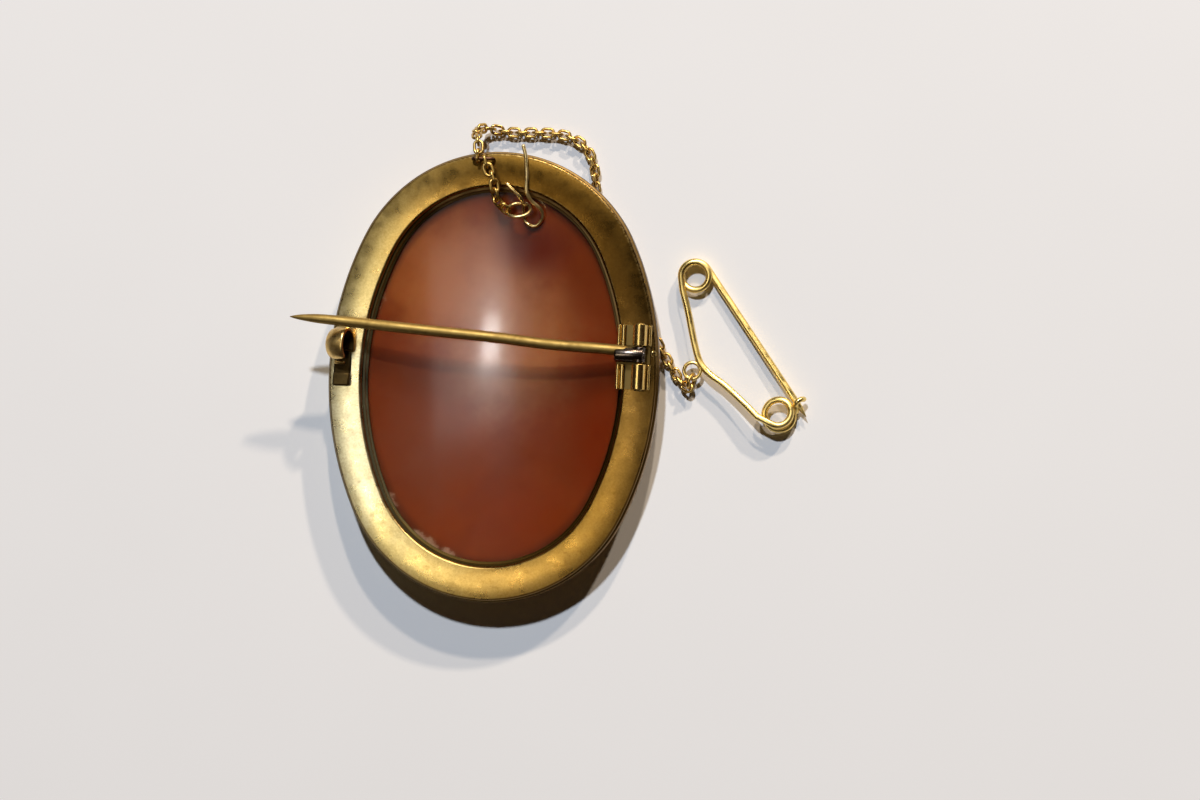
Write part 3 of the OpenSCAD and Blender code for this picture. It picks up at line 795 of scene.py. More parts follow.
def carried_frames(route: Sequence[Vector], first: Vector) -> list[tuple[Vector, Vector]]:
    """Carry a side direction along a route without twist.

    Args:
        route: Points of the route.
        first: Side direction at its start.

    Returns:
        Heading and side direction at each point.
    """
    frames, side = [], first
    for i in range(len(route)):
        ahead = route[min(i + 1, len(route) - 1)] - route[max(i - 1, 0)]
        heading = ahead.normalized()
        side = (side - side.dot(heading) * heading).normalized()
        frames.append((heading, side.copy()))
    return frames


# Leans, in degrees, of the two rings that round off a wire's end, and the end's roundness
CAP_LEANS = (35.0, 65.0)
CAP_ROUND = 0.8


def round_wire(route: Sequence[Vector], radii: Sequence[float], sides: int = 16,
               first: Vector = Vector((0, 0, 1))) -> Form:
    """Make a round wire with softly rounded ends.

    Args:
        route: Points along the wire's middle.
        radii: Radius at each point.
        sides: Flats round the wire.
        first: Side direction at its start.

    Returns:
        The wire as a form.
    """
    rings, frames = [], carried_frames(route, first)
    for point, radius, (heading, side) in zip(route, radii, frames):
        up = heading.cross(side)
        rings.append([point + radius * (math.cos(a) * side + math.sin(a) * up)
                      for a in (math.tau * k / sides for k in range(sides))])
    for end, way in ((0, -1.0), (-1, 1.0)):
        middle, ahead, ring = route[end], frames[end][0] * way, rings[end]
        for degrees in CAP_LEANS:
            lean = math.radians(degrees)
            cap = [middle + (p - middle) * math.cos(lean)
                   + ahead * radii[end] * CAP_ROUND * math.sin(lean) for p in ring]
            rings.insert(0 if way < 0 else len(rings), cap)
    return Form().loft(rings)


def wire_ring(radius: float, wire: float, at: Sequence[float], turn: Sequence[float],
              around: int = 64, sides: int = 14) -> Form:
    """Make a closed ring of wire.

    Args:
        radius: Radius to the middle of the wire.
        wire: Diameter of the wire.
        at: Middle of the ring.
        turn: Turns about X, Y and Z in degrees.
        around: Steps round the ring.
        sides: Flats round the wire.

    Returns:
        The ring as a form.
    """
    rings = []
    for k in range(around):
        a = math.tau * k / around
        out = Vector((math.cos(a), math.sin(a), 0))
        rings.append([out * (radius + wire / 2 * math.cos(b))
                      + Vector((0, 0, wire / 2 * math.sin(b)))
                      for b in (math.tau * j / sides for j in range(sides))])
    place = Matrix.Translation(at) @ Euler([math.radians(t) for t in turn]).to_matrix().to_4x4()
    return Form().loft(rings, closed=True).moved(place)


def block(low: Place, high: Place, dirt: float) -> Form:
    """Make a plain block between two corners, with some grime and painted shade on it.

    Args:
        low: Its lowest corner.
        high: Its highest corner.
        dirt: Share of grime and painted shade.

    Returns:
        The block as a form.
    """
    (x0, y0, z0), (x1, y1, z1) = low, high
    corners = ((x0, y0), (x1, y0), (x1, y1), (x0, y1))
    return Form().loft([[Vector((x, y, z)) for x, y in corners] for z in (z0, z1)], dirt=dirt)


def turned(outline: Sequence[Flat], place: Matrix, sides: int = 48) -> Form:
    """Turn an outline of (radius, height) round the Z axis and place it.

    Args:
        outline: Radius and height of each step, from one end to the other.
        place: Matrix that puts the turned shape in its place.
        sides: Flats round it.

    Returns:
        The turned shape as a form.
    """
    rings = [[Vector((r * math.cos(a), r * math.sin(a), z))
              for a in (math.tau * k / sides for k in range(sides))] for r, z in outline]
    return Form().loft(rings).moved(place)


def arc(centre: Flat, radius: float, start: float, end: float, steps: int) -> list[Flat]:
    """Give points of an arc.

    Args:
        centre: Centre of the arc.
        radius: Radius of the arc.
        start: First angle in degrees.
        end: Last angle in degrees.
        steps: Steps between them.

    Returns:
        The arc's points.
    """
    angles = (math.radians(start + (end - start) * k / steps) for k in range(steps + 1))
    return [(centre[0] + radius * math.cos(a), centre[1] + radius * math.sin(a)) for a in angles]


# Body, slot and node of every piece of the frame
FRAME = (Body.ROOT, Slot.GILT, "frame")


def finish_piece(piece: bpy.types.Object, body: Body, slot: Slot, *nodes: str) -> None:
    """Tie a piece to its body and hide the nodes that it stands for.

    Args:
        piece: The finished piece.
        body: The body that it rides on.
        slot: Its material slot; not used.
        *nodes: The nodes that it replaces.
    """
    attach(piece, body.value)
    if nodes:
        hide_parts(*nodes)
    log.info("%s: %d faces", piece.name, len(piece.data.polygons))


@dataclass
class Oval:
    """The outer edge: an oval of two side arcs and two end arcs."""

    length: float = 60.4
    width: float = 45.2
    end_r: float = 20.4

    def __post_init__(self) -> None:
        """Work out the arcs."""
        half_l, half_w = self.length / 2, self.width / 2
        self.side_r = ((half_w ** 2 + half_l ** 2 - 2 * half_l * self.end_r)
                       / (2 * (half_w - self.end_r)))
        self.side_c = self.side_r - half_w
        self.end_c = half_l - self.end_r
        self.join = math.degrees(math.atan2(self.end_c, self.side_c))

    def edge_y(self, x: float) -> float:
        """Give the distance of the end arc from the long axis at x."""
        return self.end_c + math.sqrt(self.end_r ** 2 - x ** 2)

    def outline(self, inset: float, side_steps: int, end_steps: int) -> list[Flat]:
        """Give points of the oval that lies inset inside the edge, anticlockwise from +X.

        Args:
            inset: Distance inside the outer edge.
            side_steps: Steps along each side arc.
            end_steps: Steps along each end arc.

        Returns:
            The outline's points.
        """
        half = (arc((-self.side_c, 0), self.side_r - inset, -self.join, self.join,
                    side_steps)[:-1]
                + arc((0, self.end_c), self.end_r - inset, self.join, 180 - self.join,
                      end_steps)[:-1])
        return half + [(-x, -y) for x, y in half]


class Run(NamedTuple):
    """A run of points of a section, with its share of the rim mask for painted edge light and
    shade, and of grime and painted shade.
    """

    points: Sequence[Flat]
    rim: float = 0.0
    dirt: float = 0.0


@dataclass
class Rim:
    """Border plate, side wall, quarter-round moulding, bead and seat, swept round the oval.

    A point of the section is its distance inside the oval's edge and its height.
    """

    oval: Oval
    finish: Material
    height: float = 5.8
    border_w: float = 4.8
    plate_t: float = 0.85
    plate_flat: float = 0.02
    crown_r: float = 14.0
    crown_in: float = 3.1
    crown_steps: int = 22
    step: float = 0.15
    moulding_r: float = 2.2
    wall_base: float = 3.9
    bead_in: float = 3.35
    bead_r: float = 0.95
    bead_h: float = 0.85
    dent: float = 0.045
    dent_size: float = 6.0
    dent_from: float = 0.4
    dent_seed: float = 3.0
    sharp: float = 50.0

    PIECE = "gilt_rim"
    # Steps along each side arc and each end arc of the oval
    STEPS = (130, 190)
    # Under the border's inner edge: groove, setting edge, its underside, and the shell's seat,
    # darkened with grime and painted shade
    INNER_RUNS = (
        Run(((4.74, 4.93), (5.06, 4.9)), dirt=1.0),
        Run(((5.1, 4.84), (5.12, 4.66)), rim=0.5, dirt=0.45),
        Run(((5.16, 4.61), (5.38, 4.59), (5.41, 4.55), (5.41, 4.44), (5.38, 4.4), (5.0, 4.38),
             (4.96, 4.3)), dirt=0.97),
        Run(((4.95, 2.35), (5.02, 2.24), (5.6, 2.2), (5.69, 2.1), (5.69, 1.62), (5.6, 1.5),
             (4.8, 1.42), (4.5, 1.34), (4.34, 1.24)), dirt=0.7))
    # Between the bead and the moulding, darkened with grime and painted shade in the cove, and the
    # side wall over the moulding
    COVE = Run(((2.44, 1.4), (2.36, 1.75), (2.27, 1.76)), dirt=0.9)
    WALL = Run(((0.0, 4.2), (0.0, 4.5)))

    def crown(self, inward: float) -> float:
        """Give the height of the crowned border at a distance inside the edge."""
        off = inward - self.crown_in
        return self.height - off * off / (2 * self.crown_r)

    def section(self) -> list[Run]:
        """Give the closed section, from the step under the border round to the side wall.

        Returns:
            Its runs of points, in order.
        """
        edge_r = (self.plate_t - self.plate_flat) / 2
        outer, inner = self.step + edge_r, self.border_w - edge_r
        low = self.height - self.plate_t
        outer_r = (self.crown(outer) - low) / 2
        inner_r = (self.crown(inner) - low) / 2
        across = [outer + (inner - outer) * k / self.crown_steps
                  for k in range(self.crown_steps + 1)]
        top = [(u, self.crown(u)) for u in across]
        flat = math.degrees(math.acos(self.bead_h / self.bead_r))
        bead = arc((self.bead_in, self.bead_h), self.bead_r, 155, 270 - flat, 11)
        # The rim values mark the rounded edges for painted shade and painted highlight, and the
        # last values darken undersides and recesses with grime and painted shade
        return [
            Run(((0.02, low - 0.12), (0.1, low - 0.02)), 0.3, 0.75),
            Run(arc((outer, low + outer_r), outer_r, 262, 190, 4), 0.6, 0.5),
            Run(arc((outer, low + outer_r), outer_r, 172, 100, 6), 0.9),
            Run(top[:1], 0.5),
            Run(top[1:]),
            Run(arc((inner, low + inner_r), inner_r, 80, 10, 6), 0.8),
            Run(arc((inner, low + inner_r), inner_r, -10, -80, 4), 0.0, 0.8),
            *self.INNER_RUNS,
            Run([(2 * self.bead_in - u, z) for u, z in bead]),
            Run(bead[::-1]),
            self.COVE,
            Run(arc((self.moulding_r, self.wall_base), self.moulding_r, 268, 180, 14)),
            self.WALL]

    def section_line(self) -> bpy.types.Object:
        """Make the section as a closed line, with its rim mask and its values of grime and painted
        shade.

        Returns:
            The line as an object.
        """
        rows = [(u, z, run.rim, run.dirt) for run in self.section() for u, z in run.points]
        mesh = bpy.data.meshes.new("section")
        mesh.from_pydata([(-u * MM, -z * MM, 0.0) for u, z, _, _ in rows],
                         [(i, (i + 1) % len(rows)) for i in range(len(rows))], [])
        give_values(mesh, {"rim": [row[2] for row in rows], "dirt": [row[3] for row in rows]})
        return new_object("section", mesh)

    def rail(self) -> bpy.types.Object:
        """Make the oval that the section runs round, as a closed curve.

        Returns:
            The curve as an object.
        """
        outline = self.oval.outline(0.0, *self.STEPS)
        curve = bpy.data.curves.new("rail", "CURVE")
        curve.dimensions = "3D"
        curve.twist_mode = "Z_UP"
        spline = curve.splines.new("POLY")
        spline.points.add(len(outline) - 1)
        for point, (x, y) in zip(spline.points, outline):
            point.co = (x * MM, y * MM, 0.0, 1.0)
        spline.use_cyclic_u = True
        return new_object("rail", curve)

    @staticmethod
    def tree() -> Tree:
        """Build the tree that sweeps a section round a rail and dents it a little.

        Returns:
            The geometry tree, with named inputs for its sizes.
        """
        wires, given, out = open_tree(
            "GeometryNodeTree", "SweptRim",
            {"Geometry": "Geometry", "Section": "Object", "Dent": "Float", "Dent Size": "Float",
             "Dent From": "Float", "Seed": "Float", "Finish": "Material"},
            {"Geometry": "Geometry"})
        section = wires.add("GeometryNodeObjectInfo", {"Object": given["Section"]}, "Geometry")
        line = wires.add("GeometryNodeMeshToCurve", {"Mesh": section})
        swept = wires.add("GeometryNodeCurveToMesh", {"Curve": given["Geometry"],
                                                      "Profile Curve": line})
        place = wires.add("GeometryNodeInputPosition")
        waves = wires.add("ShaderNodeTexNoise", {
            "Vector": place, "W": given["Seed"], "Detail": 2.0,
            "Scale": wires.maths("DIVIDE", 1.0, given["Dent Size"])}, noise_dimensions="4D")
        depth = wires.maths("MULTIPLY", wires.maths("SUBTRACT", waves, 0.5), given["Dent"])
        shift = wires.add("ShaderNodeVectorMath", {
            0: wires.add("GeometryNodeInputNormal"), "Scale": depth}, operation="SCALE")
        height = wires.add("ShaderNodeSeparateXYZ", {0: place}, "Z")
        above = wires.add("FunctionNodeCompare", {0: height, 1: given["Dent From"]},
                          operation="GREATER_THAN", data_type="FLOAT")
        dented = wires.add("GeometryNodeSetPosition", {"Geometry": swept, "Selection": above,
                                                       "Offset": shift})
        return close_tree(wires, dented, given["Finish"], out)

    def build(self) -> None:
        """Sweep the rim and dress it."""
        section = self.section_line()
        mesh = realised(self.rail(), self.tree(), self.PIECE, {
            "Section": section, "Dent": self.dent * MM, "Dent Size": self.dent_size * MM,
            "Dent From": self.dent_from * MM, "Seed": self.dent_seed, "Finish": self.finish})
        bpy.data.objects.remove(section)
        face_outwards(mesh)
        mesh.set_sharp_from_angle(angle=math.radians(self.sharp))
        finish_piece(new_object(self.PIECE, mesh), *FRAME)


class Stem(NamedTuple):
    """A carved stem: its ends, in shares of the half width and length, and its bow."""

    start: Flat
    end: Flat
    bow: float


class Leaf(NamedTuple):
    """A carved leaf: its middle and length, in shares of the half sizes, and its direction."""

    x: float
    y: float
    turn: float
    length: float


class PetalRing(NamedTuple):
    """A ring of the rose's petals: its radius and their size in shares, heights and first turn."""

    count: int
    radius: float
    size: float
    low: float
    high: float
    turn: float


class Bud(NamedTuple):
    """A bud of three petals: its place and size, in shares of the half sizes, and direction."""

    x: float
    y: float
    size: float
    turn: float


class Carving:
    """A spray of one rose with leaves and buds, laid shape by shape over a grid of places."""

    STEMS = (Stem((0.0, 0.1), (-0.14, 0.56), 0.1), Stem((0.0, 0.0), (0.3, -0.44), -0.1),
             Stem((0.0, 0.0), (0.02, -0.62), 0.12), Stem((0.0, 0.1), (0.1, 0.5), -0.1),
             Stem((0.02, -0.3), (-0.16, -0.5), 0.15))
    LEAVES = (Leaf(0.42, 0.34, 50, 0.38), Leaf(-0.42, 0.32, 130, 0.38),
              Leaf(0.1, 0.52, 80, 0.34), Leaf(-0.34, -0.14, 215, 0.36),
              Leaf(0.36, -0.12, 325, 0.36), Leaf(0.08, -0.36, 265, 0.4),
              Leaf(-0.16, -0.52, 240, 0.3))
    ROSE = (PetalRing(6, 0.26, 0.19, 0.16, 0.36, 0.0), PetalRing(5, 0.17, 0.15, 0.26, 0.43, 20.0),
            PetalRing(4, 0.095, 0.105, 0.34, 0.5, 50.0),
            PetalRing(3, 0.045, 0.06, 0.42, 0.56, 10.0))
    BUDS = (Bud(-0.14, 0.56, 0.1, 110), Bud(0.3, -0.44, 0.09, 300), Bud(0.02, -0.62, 0.08, 270))
    # The rose's middle in shares of the half length
    ROSE_AT = 0.1
    # Thickness of a stem in millimetres, how much of it stands out, and its steps
    STEM_R = 0.42
    STEM_RISE = 0.55
    STEM_STEPS = 70
    # A petal's width for its length, and its two side turns in a bud
    PETAL_WIDE = 1.12
    BUD_SPREAD = 32
    # A leaf's greatest half width for its length
    LEAF_WIDE = 0.24

    def __init__(self, x: np.ndarray, y: np.ndarray, half_w: float, half_l: float) -> None:
        """Carve the spray.

        Args:
            x: Places across.
            y: Places along.
            half_w: Half width that the shares are taken of.
            half_l: Half length that the shares are taken of.
        """
        self.x, self.y = x, y
        self.height = np.zeros_like(x)
        for start, end, bow in self.STEMS:
            self.stem((start[0] * half_w, start[1] * half_l), (end[0] * half_w, end[1] * half_l),
                      bow)
        for leaf in self.LEAVES:
            self.leaf(leaf.x * half_w, leaf.y * half_l, leaf.turn, leaf.length * half_w)
        for ring in self.ROSE:
            for k in range(ring.count):
                turn = ring.turn + 360 * k / ring.count
                self.petal((0.0, half_l * self.ROSE_AT), ring.radius * half_w, turn,
                           ring.size * half_w, ring.low, ring.high)
        for bud in self.BUDS:
            at, size = (bud.x * half_w, bud.y * half_l), bud.size * half_w
            for spread in (-self.BUD_SPREAD, self.BUD_SPREAD):
                self.petal(at, size * 0.4, bud.turn + spread, size * 0.72, 0.12, 0.36)
            self.petal(at, size * 0.4, bud.turn, size * 0.6, 0.12, 0.46)

    def over(self, shape: np.ndarray) -> None:
        """Lay a shape over what is there."""
        np.maximum(self.height, shape, out=self.height)

    def near(self, x: float, y: float, turn: float) -> tuple[np.ndarray, np.ndarray]:
        """Give places along and across a direction from a centre."""
        c, s = math.cos(math.radians(turn)), math.sin(math.radians(turn))
        return (self.x - x) * c + (self.y - y) * s, (self.y - y) * c - (self.x - x) * s

    def petal(self, at: Flat, out: float, turn: float, length: float, low: float,
              high: float) -> None:
        """Carve a petal that rises to a rolled edge on its outer side.

        Args:
            at: Centre of the flower.
            out: Distance of the petal's middle from it.
            turn: Direction of the petal in degrees.
            length: Half length of the petal.
            low: Height at its inner edge.
            high: Height at its outer edge.
        """
        way = math.radians(turn)
        along, across = self.near(at[0] + out * math.cos(way), at[1] + out * math.sin(way), turn)
        wavy = 1 + 0.05 * np.cos(5 * np.arctan2(across, along))
        inside = 1 - (along ** 2 / length ** 2
                      + across ** 2 / (length * self.PETAL_WIDE) ** 2) / wavy
        edge = np.clip(inside / 0.16, 0, 1) ** 0.5
        cup = 0.72 + 0.28 * np.clip(along / length, -1, 1)
        fold = 1 - 0.12 * np.exp(-(across / (0.13 * length)) ** 2) * np.clip(inside, 0, 1)
        rolled = 1 + 0.16 * np.exp(-((inside - 0.2) / 0.13) ** 2)
        self.over(np.where(inside > 0, edge * (low + (high - low) * cup * fold * rolled), 0))

    def leaf(self, x: float, y: float, turn: float, length: float) -> None:
        """Carve a pointed leaf with a midrib, side veins and a toothed edge.

        Args:
            x: Its middle across.
            y: Its middle along.
            turn: Direction in degrees.
            length: Length of the leaf.
        """
        along, across = self.near(x, y, turn)
        share = np.clip(along / (length / 2), -1, 1)
        tooth = 1 + 0.07 * np.abs(((share * 6.5) % 1) - 0.5)
        reach = self.LEAF_WIDE * length * (1 - share ** 2) ** 0.8 * (1.1 - 0.25 * share) * tooth
        inside = 1 - np.abs(across) / np.maximum(reach, 1e-6)
        on_leaf = (inside > 0) & (np.abs(along) < length / 2)
        blade = np.clip(inside / 0.3, 0, 1) ** 0.6 * (0.2 + 0.16 * (1 - np.abs(share)))
        rib = 0.09 * np.exp(-(across / 0.16) ** 2)
        vein = 0.035 * np.cos(9.0 * (share * length / 4 - 0.8 * np.abs(across)))
        self.over(np.where(on_leaf, blade - rib + vein * np.clip(inside * 2, 0, 1) + 0.03, 0))

    def stem(self, start: Flat, end: Flat, bow: float) -> None:
        """Carve a round stem along a bowed line.

        Args:
            start: One end.
            end: The other end.
            bow: How far it bows, in shares of its length.
        """
        a, b = np.array(start), np.array(end)
        side = np.array((-(b - a)[1], (b - a)[0])) * bow
        for k in range(self.STEM_STEPS + 1):
            t = k / self.STEM_STEPS
            cx, cy = a + (b - a) * t + side * 4 * t * (1 - t)
            left = self.STEM_R ** 2 - (self.x - cx) ** 2 - (self.y - cy) ** 2
            self.over(np.sqrt(np.clip(left, 0, None)) * self.STEM_RISE)


class Chipped(NamedTuple):
    """A worn stretch of the shell's edge: angles clockwise from +X in degrees, and weight."""

    start: float
    end: float
    weight: float


@dataclass
class Cameo:
    """The carved shell: hollow at the back, a rose spray in relief on the front."""

    oval: Oval
    finish: Material
    inset: float = 5.05
    hollow_z: float = 2.1
    ground_z: float = 0.85
    hollow_r: float = 76.0
    dome_r: float = 95.0
    long_curve: float = 2.05
    relief_max: float = 0.58
    sharp: float = 50.0
    chipped: tuple[Chipped, ...] = (Chipped(97, 119, 1.0), Chipped(121, 134, 0.8),
                                    Chipped(174, 187, 0.6), Chipped(200, 226, 0.7))

    PIECE = "carved_shell_cameo"
    # Steps along each side arc and each end arc of the oval, and rings of the back and front
    STEPS = (80, 112)
    BACK_RINGS = 40
    FRONT_RINGS = 150
    # Shares of the outline: where the relief, the chips and the painted shade of the edge begin or
    # end
    RELIEF_EDGE = 0.03
    CHIPS_FROM = 0.93
    EDGE_FROM = 0.955
    # Angle in degrees over which a worn stretch fades in and out
    CHIPS_FADE = 5.0

    def __post_init__(self) -> None:
        """Work out the outline and the half sizes."""
        self.half_w, self.half_l = self.oval.width / 2, self.oval.length / 2
        self.outline = np.array(self.oval.outline(self.inset, *self.STEPS))
        self.spokes = len(self.outline)

    def side(self, shares: Sequence[float], front: bool) -> tuple[list[Vector], list[float]]:
        """Give the points of one side and their relief, the middle first.

        Args:
            shares: Size of each ring in shares of the outline.
            front: Whether it is the domed front, or the hollow back.

        Returns:
            The points and the height of the carving at each.
        """
        scale = np.array([0.0] + list(shares))
        x = scale[:, None] * self.outline[None, :, 0]
        y = scale[:, None] * self.outline[None, :, 1]
        r = self.dome_r if front else self.hollow_r
        z = x ** 2 / (2 * r) + y ** 2 / (2 * r * self.long_curve)
        z += self.ground_z if front else self.hollow_z
        raised = np.zeros_like(x)
        if front:
            carved = Carving(x, y, self.half_w, self.half_l).height
            raised = np.minimum(carved, self.relief_max)
            raised *= np.clip((1 - scale) / self.RELIEF_EDGE, 0, 1)[:, None]
        cells = np.stack([x, y, z - raised], axis=-1)
        points = [Vector(cells[0, 0])] + [Vector(p) for ring in cells[1:] for p in ring]
        lift = [raised[0, 0]] + [v for ring in raised[1:] for v in ring]
        return points, [float(v) for v in lift]

    def band(self, inner: int, outer: int) -> list[tuple[int, ...]]:
        """Give the faces between two rings, by the number of each ring's first point."""
        turns = [(k, (k + 1) % self.spokes) for k in range(self.spokes)]
        return [(inner + k, outer + k, outer + n, inner + n) for k, n in turns]

    def disc(self, count: int) -> list[tuple[int, ...]]:
        """Give the faces of one side of so many rings, round its middle point.

        Args:
            count: Number of the rings.

        Returns:
            The faces.
        """
        faces = [(0, 1 + k, 1 + (k + 1) % self.spokes) for k in range(self.spokes)]
        for i in range(count - 1):
            faces += self.band(1 + i * self.spokes, 1 + (i + 1) * self.spokes)
        return faces

    def build(self) -> None:
        """Make the shell from rings of its outline, back and front."""
        back, _ = self.side([((k + 1) / self.BACK_RINGS) ** 0.9 for k in range(self.BACK_RINGS)],
                            False)
        front, lift = self.side([(k + 1) / self.FRONT_RINGS for k in range(self.FRONT_RINGS)],
                                True)
        form = Form().add(back, self.disc(self.BACK_RINGS), relief=0.0)
        form.add(front, self.disc(self.FRONT_RINGS), relief=lift)
        form.faces += self.band(len(back) - self.spokes, len(back) + len(front) - self.spokes)
        form.value("chip", self.chip)
        # Painted shade along the outline
        form.value("edge", lambda p: self.share_past(p, self.EDGE_FROM))
        piece = form.build(self.PIECE, self.finish, self.sharp)
        finish_piece(piece, Body.ROOT, Slot.SHELL, "shell")

    def chip(self, p: Vector) -> float:
        """Give how whitish a place is: small chips along the lower and left edge of the back.

        Args:
            p: The place.

        Returns:
            A share: 0 for clean, 1 for whitish.
        """
        angle = math.degrees(math.atan2(-p.y, p.x)) % 360
        spread = 0.0
        for start, end, weight in self.chipped:
            if start < angle < end:
                spread = weight * min(1.0, (angle - start) / self.CHIPS_FADE,
                                      (end - angle) / self.CHIPS_FADE)
        return self.share_past(p, self.CHIPS_FROM) * spread

    def share_past(self, p: Vector, start: float) -> float:
        """Give how far a place lies past a share of the outline: 0 there, 1 on the outline."""
        out = math.hypot(p.x / (self.half_w - self.inset), p.y / (self.half_l - self.inset))
        return max(0.0, min(1.0, (out - start) / (1.0 - start)))


@dataclass
class Hinge:
    """Two knuckles on a base plate, the rivet, and the small ring on the rim's seam."""

    metal: Material
    rivet_metal: Material
    x: float = 20.2
    y: float = 3.5
    base_z: float = 5.8
    height: float = 1.35
    barrel_r: float = 0.95
    neck: float = 0.8
    gap: float = 2.5
    upper_l: float = 2.75
    lower_l: float = 3.3
    reach: float = 3.3
    base_t: float = 0.25
    plate_z: float = 5.3
    plate_right: float = 1.3
    # Grime and painted shade on the base plate, in the recess between the knuckles
    plate_dirt_and_shade: float = 0.92
    sharp: float = 35.0
    rivet_over: float = 0.05
    seam_r: float = 0.34
    seam_wire: float = 0.17
    seam_at: Place = (21.86, 3.75, 5.62)
    seam_turn: Place = (18, 38, 0)

    # Where the knuckle has its rings, in shares of its length
    RINGS = (0.0, 0.25, 0.5, 0.75, 1.0)
    # A head of the rivet: radius of each step, and how far it lies past the rivet's end
    HEAD = ((0.18, 0.18), (0.44, 0.17), (0.55, 0.1), (0.58, 0.0), (0.42, -0.01))

    def profile(self) -> list[Flat]:
        """Give the knuckle's section: folded strip with two ridges, barrel and outer ridge.

        Returns:
            Points of the section, from the hinge's middle and its base.
        """
        t, neck = self.base_t, self.neck
        bite = math.degrees(math.asin(math.sqrt(self.barrel_r ** 2 - neck ** 2) / self.barrel_r))
        return ([(-self.reach, 0.0), (-self.reach, t)]
                + arc((-3.0, t), 0.25, 172, 8, 6)
                + arc((-2.35, 0.35), 0.34, 192, -12, 9)
                + [(-1.7, t), (-neck - 0.1, t + 0.02), (-neck, t + 0.12)]
                + arc((0.0, self.height), self.barrel_r, 180 + bite, -bite, 26)
                + [(neck, t + 0.1)]
                + arc((1.15, 0.32), 0.24, 180, 0, 7)
                + [(1.39, 0.0)])

    def dirt(self, p: Vector) -> float:
        """Give the grime and painted shade of a place: most in the recesses beside the barrel and
        the ridges.

        Args:
            p: The place.

        Returns:
            Share of grime and painted shade.
        """
        u, h = p.x - self.x, p.z - self.base_z
        if h < 0.42 and (-2.03 < u < -0.5 or 0.5 < u < 0.95):
            return 0.85
        return 0.6 if h < 0.3 and -2.75 < u < -2.6 else 0.0

    def wear(self, p: Vector) -> float:
        """Give the wear of a place: most on top of the folded strip."""
        return 0.8 if p.x - self.x < -2.0 and p.z - self.base_z > 0.4 else 0.2

    def knuckle(self, low: float, length: float) -> Form:
        """Draw the section out along the hinge.

        Args:
            low: Lower end along Y.
            length: Length of the knuckle.

        Returns:
            The knuckle as a form, with its wear and dirt.
        """
        rings = [[Vector((self.x + px, low + length * share, self.base_z + pz))
                  for px, pz in self.profile()] for share in self.RINGS]
        return Form().loft(rings).value("dirt", self.dirt).value("wear", self.wear)

    def build(self) -> None:
        """Make the knuckles, base plate, rivet and ring."""
        low = self.y - self.gap / 2 - self.lower_l
        high = self.y + self.gap / 2 + self.upper_l
        knuckles = self.knuckle(self.y + self.gap / 2, self.upper_l)
        knuckles.join(self.knuckle(low, self.lower_l))
        finish_piece(knuckles.build("hinge_knuckles", self.metal, self.sharp, 0.07), *FRAME)
        plate = block((self.x - self.reach + 0.05, low + 0.04, self.plate_z),
                      (self.x + self.plate_right, high - 0.04, self.base_z + self.base_t - 0.03),
                      self.plate_dirt_and_shade)
        finish_piece(plate.build("hinge_base", self.metal, self.sharp, 0.05), *FRAME)
        self.rivet(low - self.rivet_over, high + self.rivet_over)
        ring = wire_ring(self.seam_r, self.seam_wire, self.seam_at, self.seam_turn, 32, 10)
        ring.value("wear", lambda p: 0.7)
        finish_piece(ring.build("seam_ring", self.metal), *FRAME)

    def rivet(self, low: float, high: float) -> None:
        """Make the rivet with its two low heads.

        Args:
            low: Its lower end along Y.
            high: Its upper end along Y.
        """
        outline = ([(radius, -over) for radius, over in self.HEAD]
                   + [(radius, high - low + over) for radius, over in reversed(self.HEAD)])
        place = (Matrix.Translation((self.x, low, self.base_z + self.height))
                 @ Matrix.Rotation(math.radians(-90), 4, "X"))
        piece = turned(outline, place, 32).build("hinge_rivet_wire", self.rivet_metal, 50.0)
        finish_piece(piece, Body.ROOT, Slot.PIN, "hinge_rivet")


class StemStep(NamedTuple):
    """A step along the pin: shares of its length, its sideways drift, its rise and thickness."""

    along: float
    drift: float
    rise: float
    thick: float = 1.0


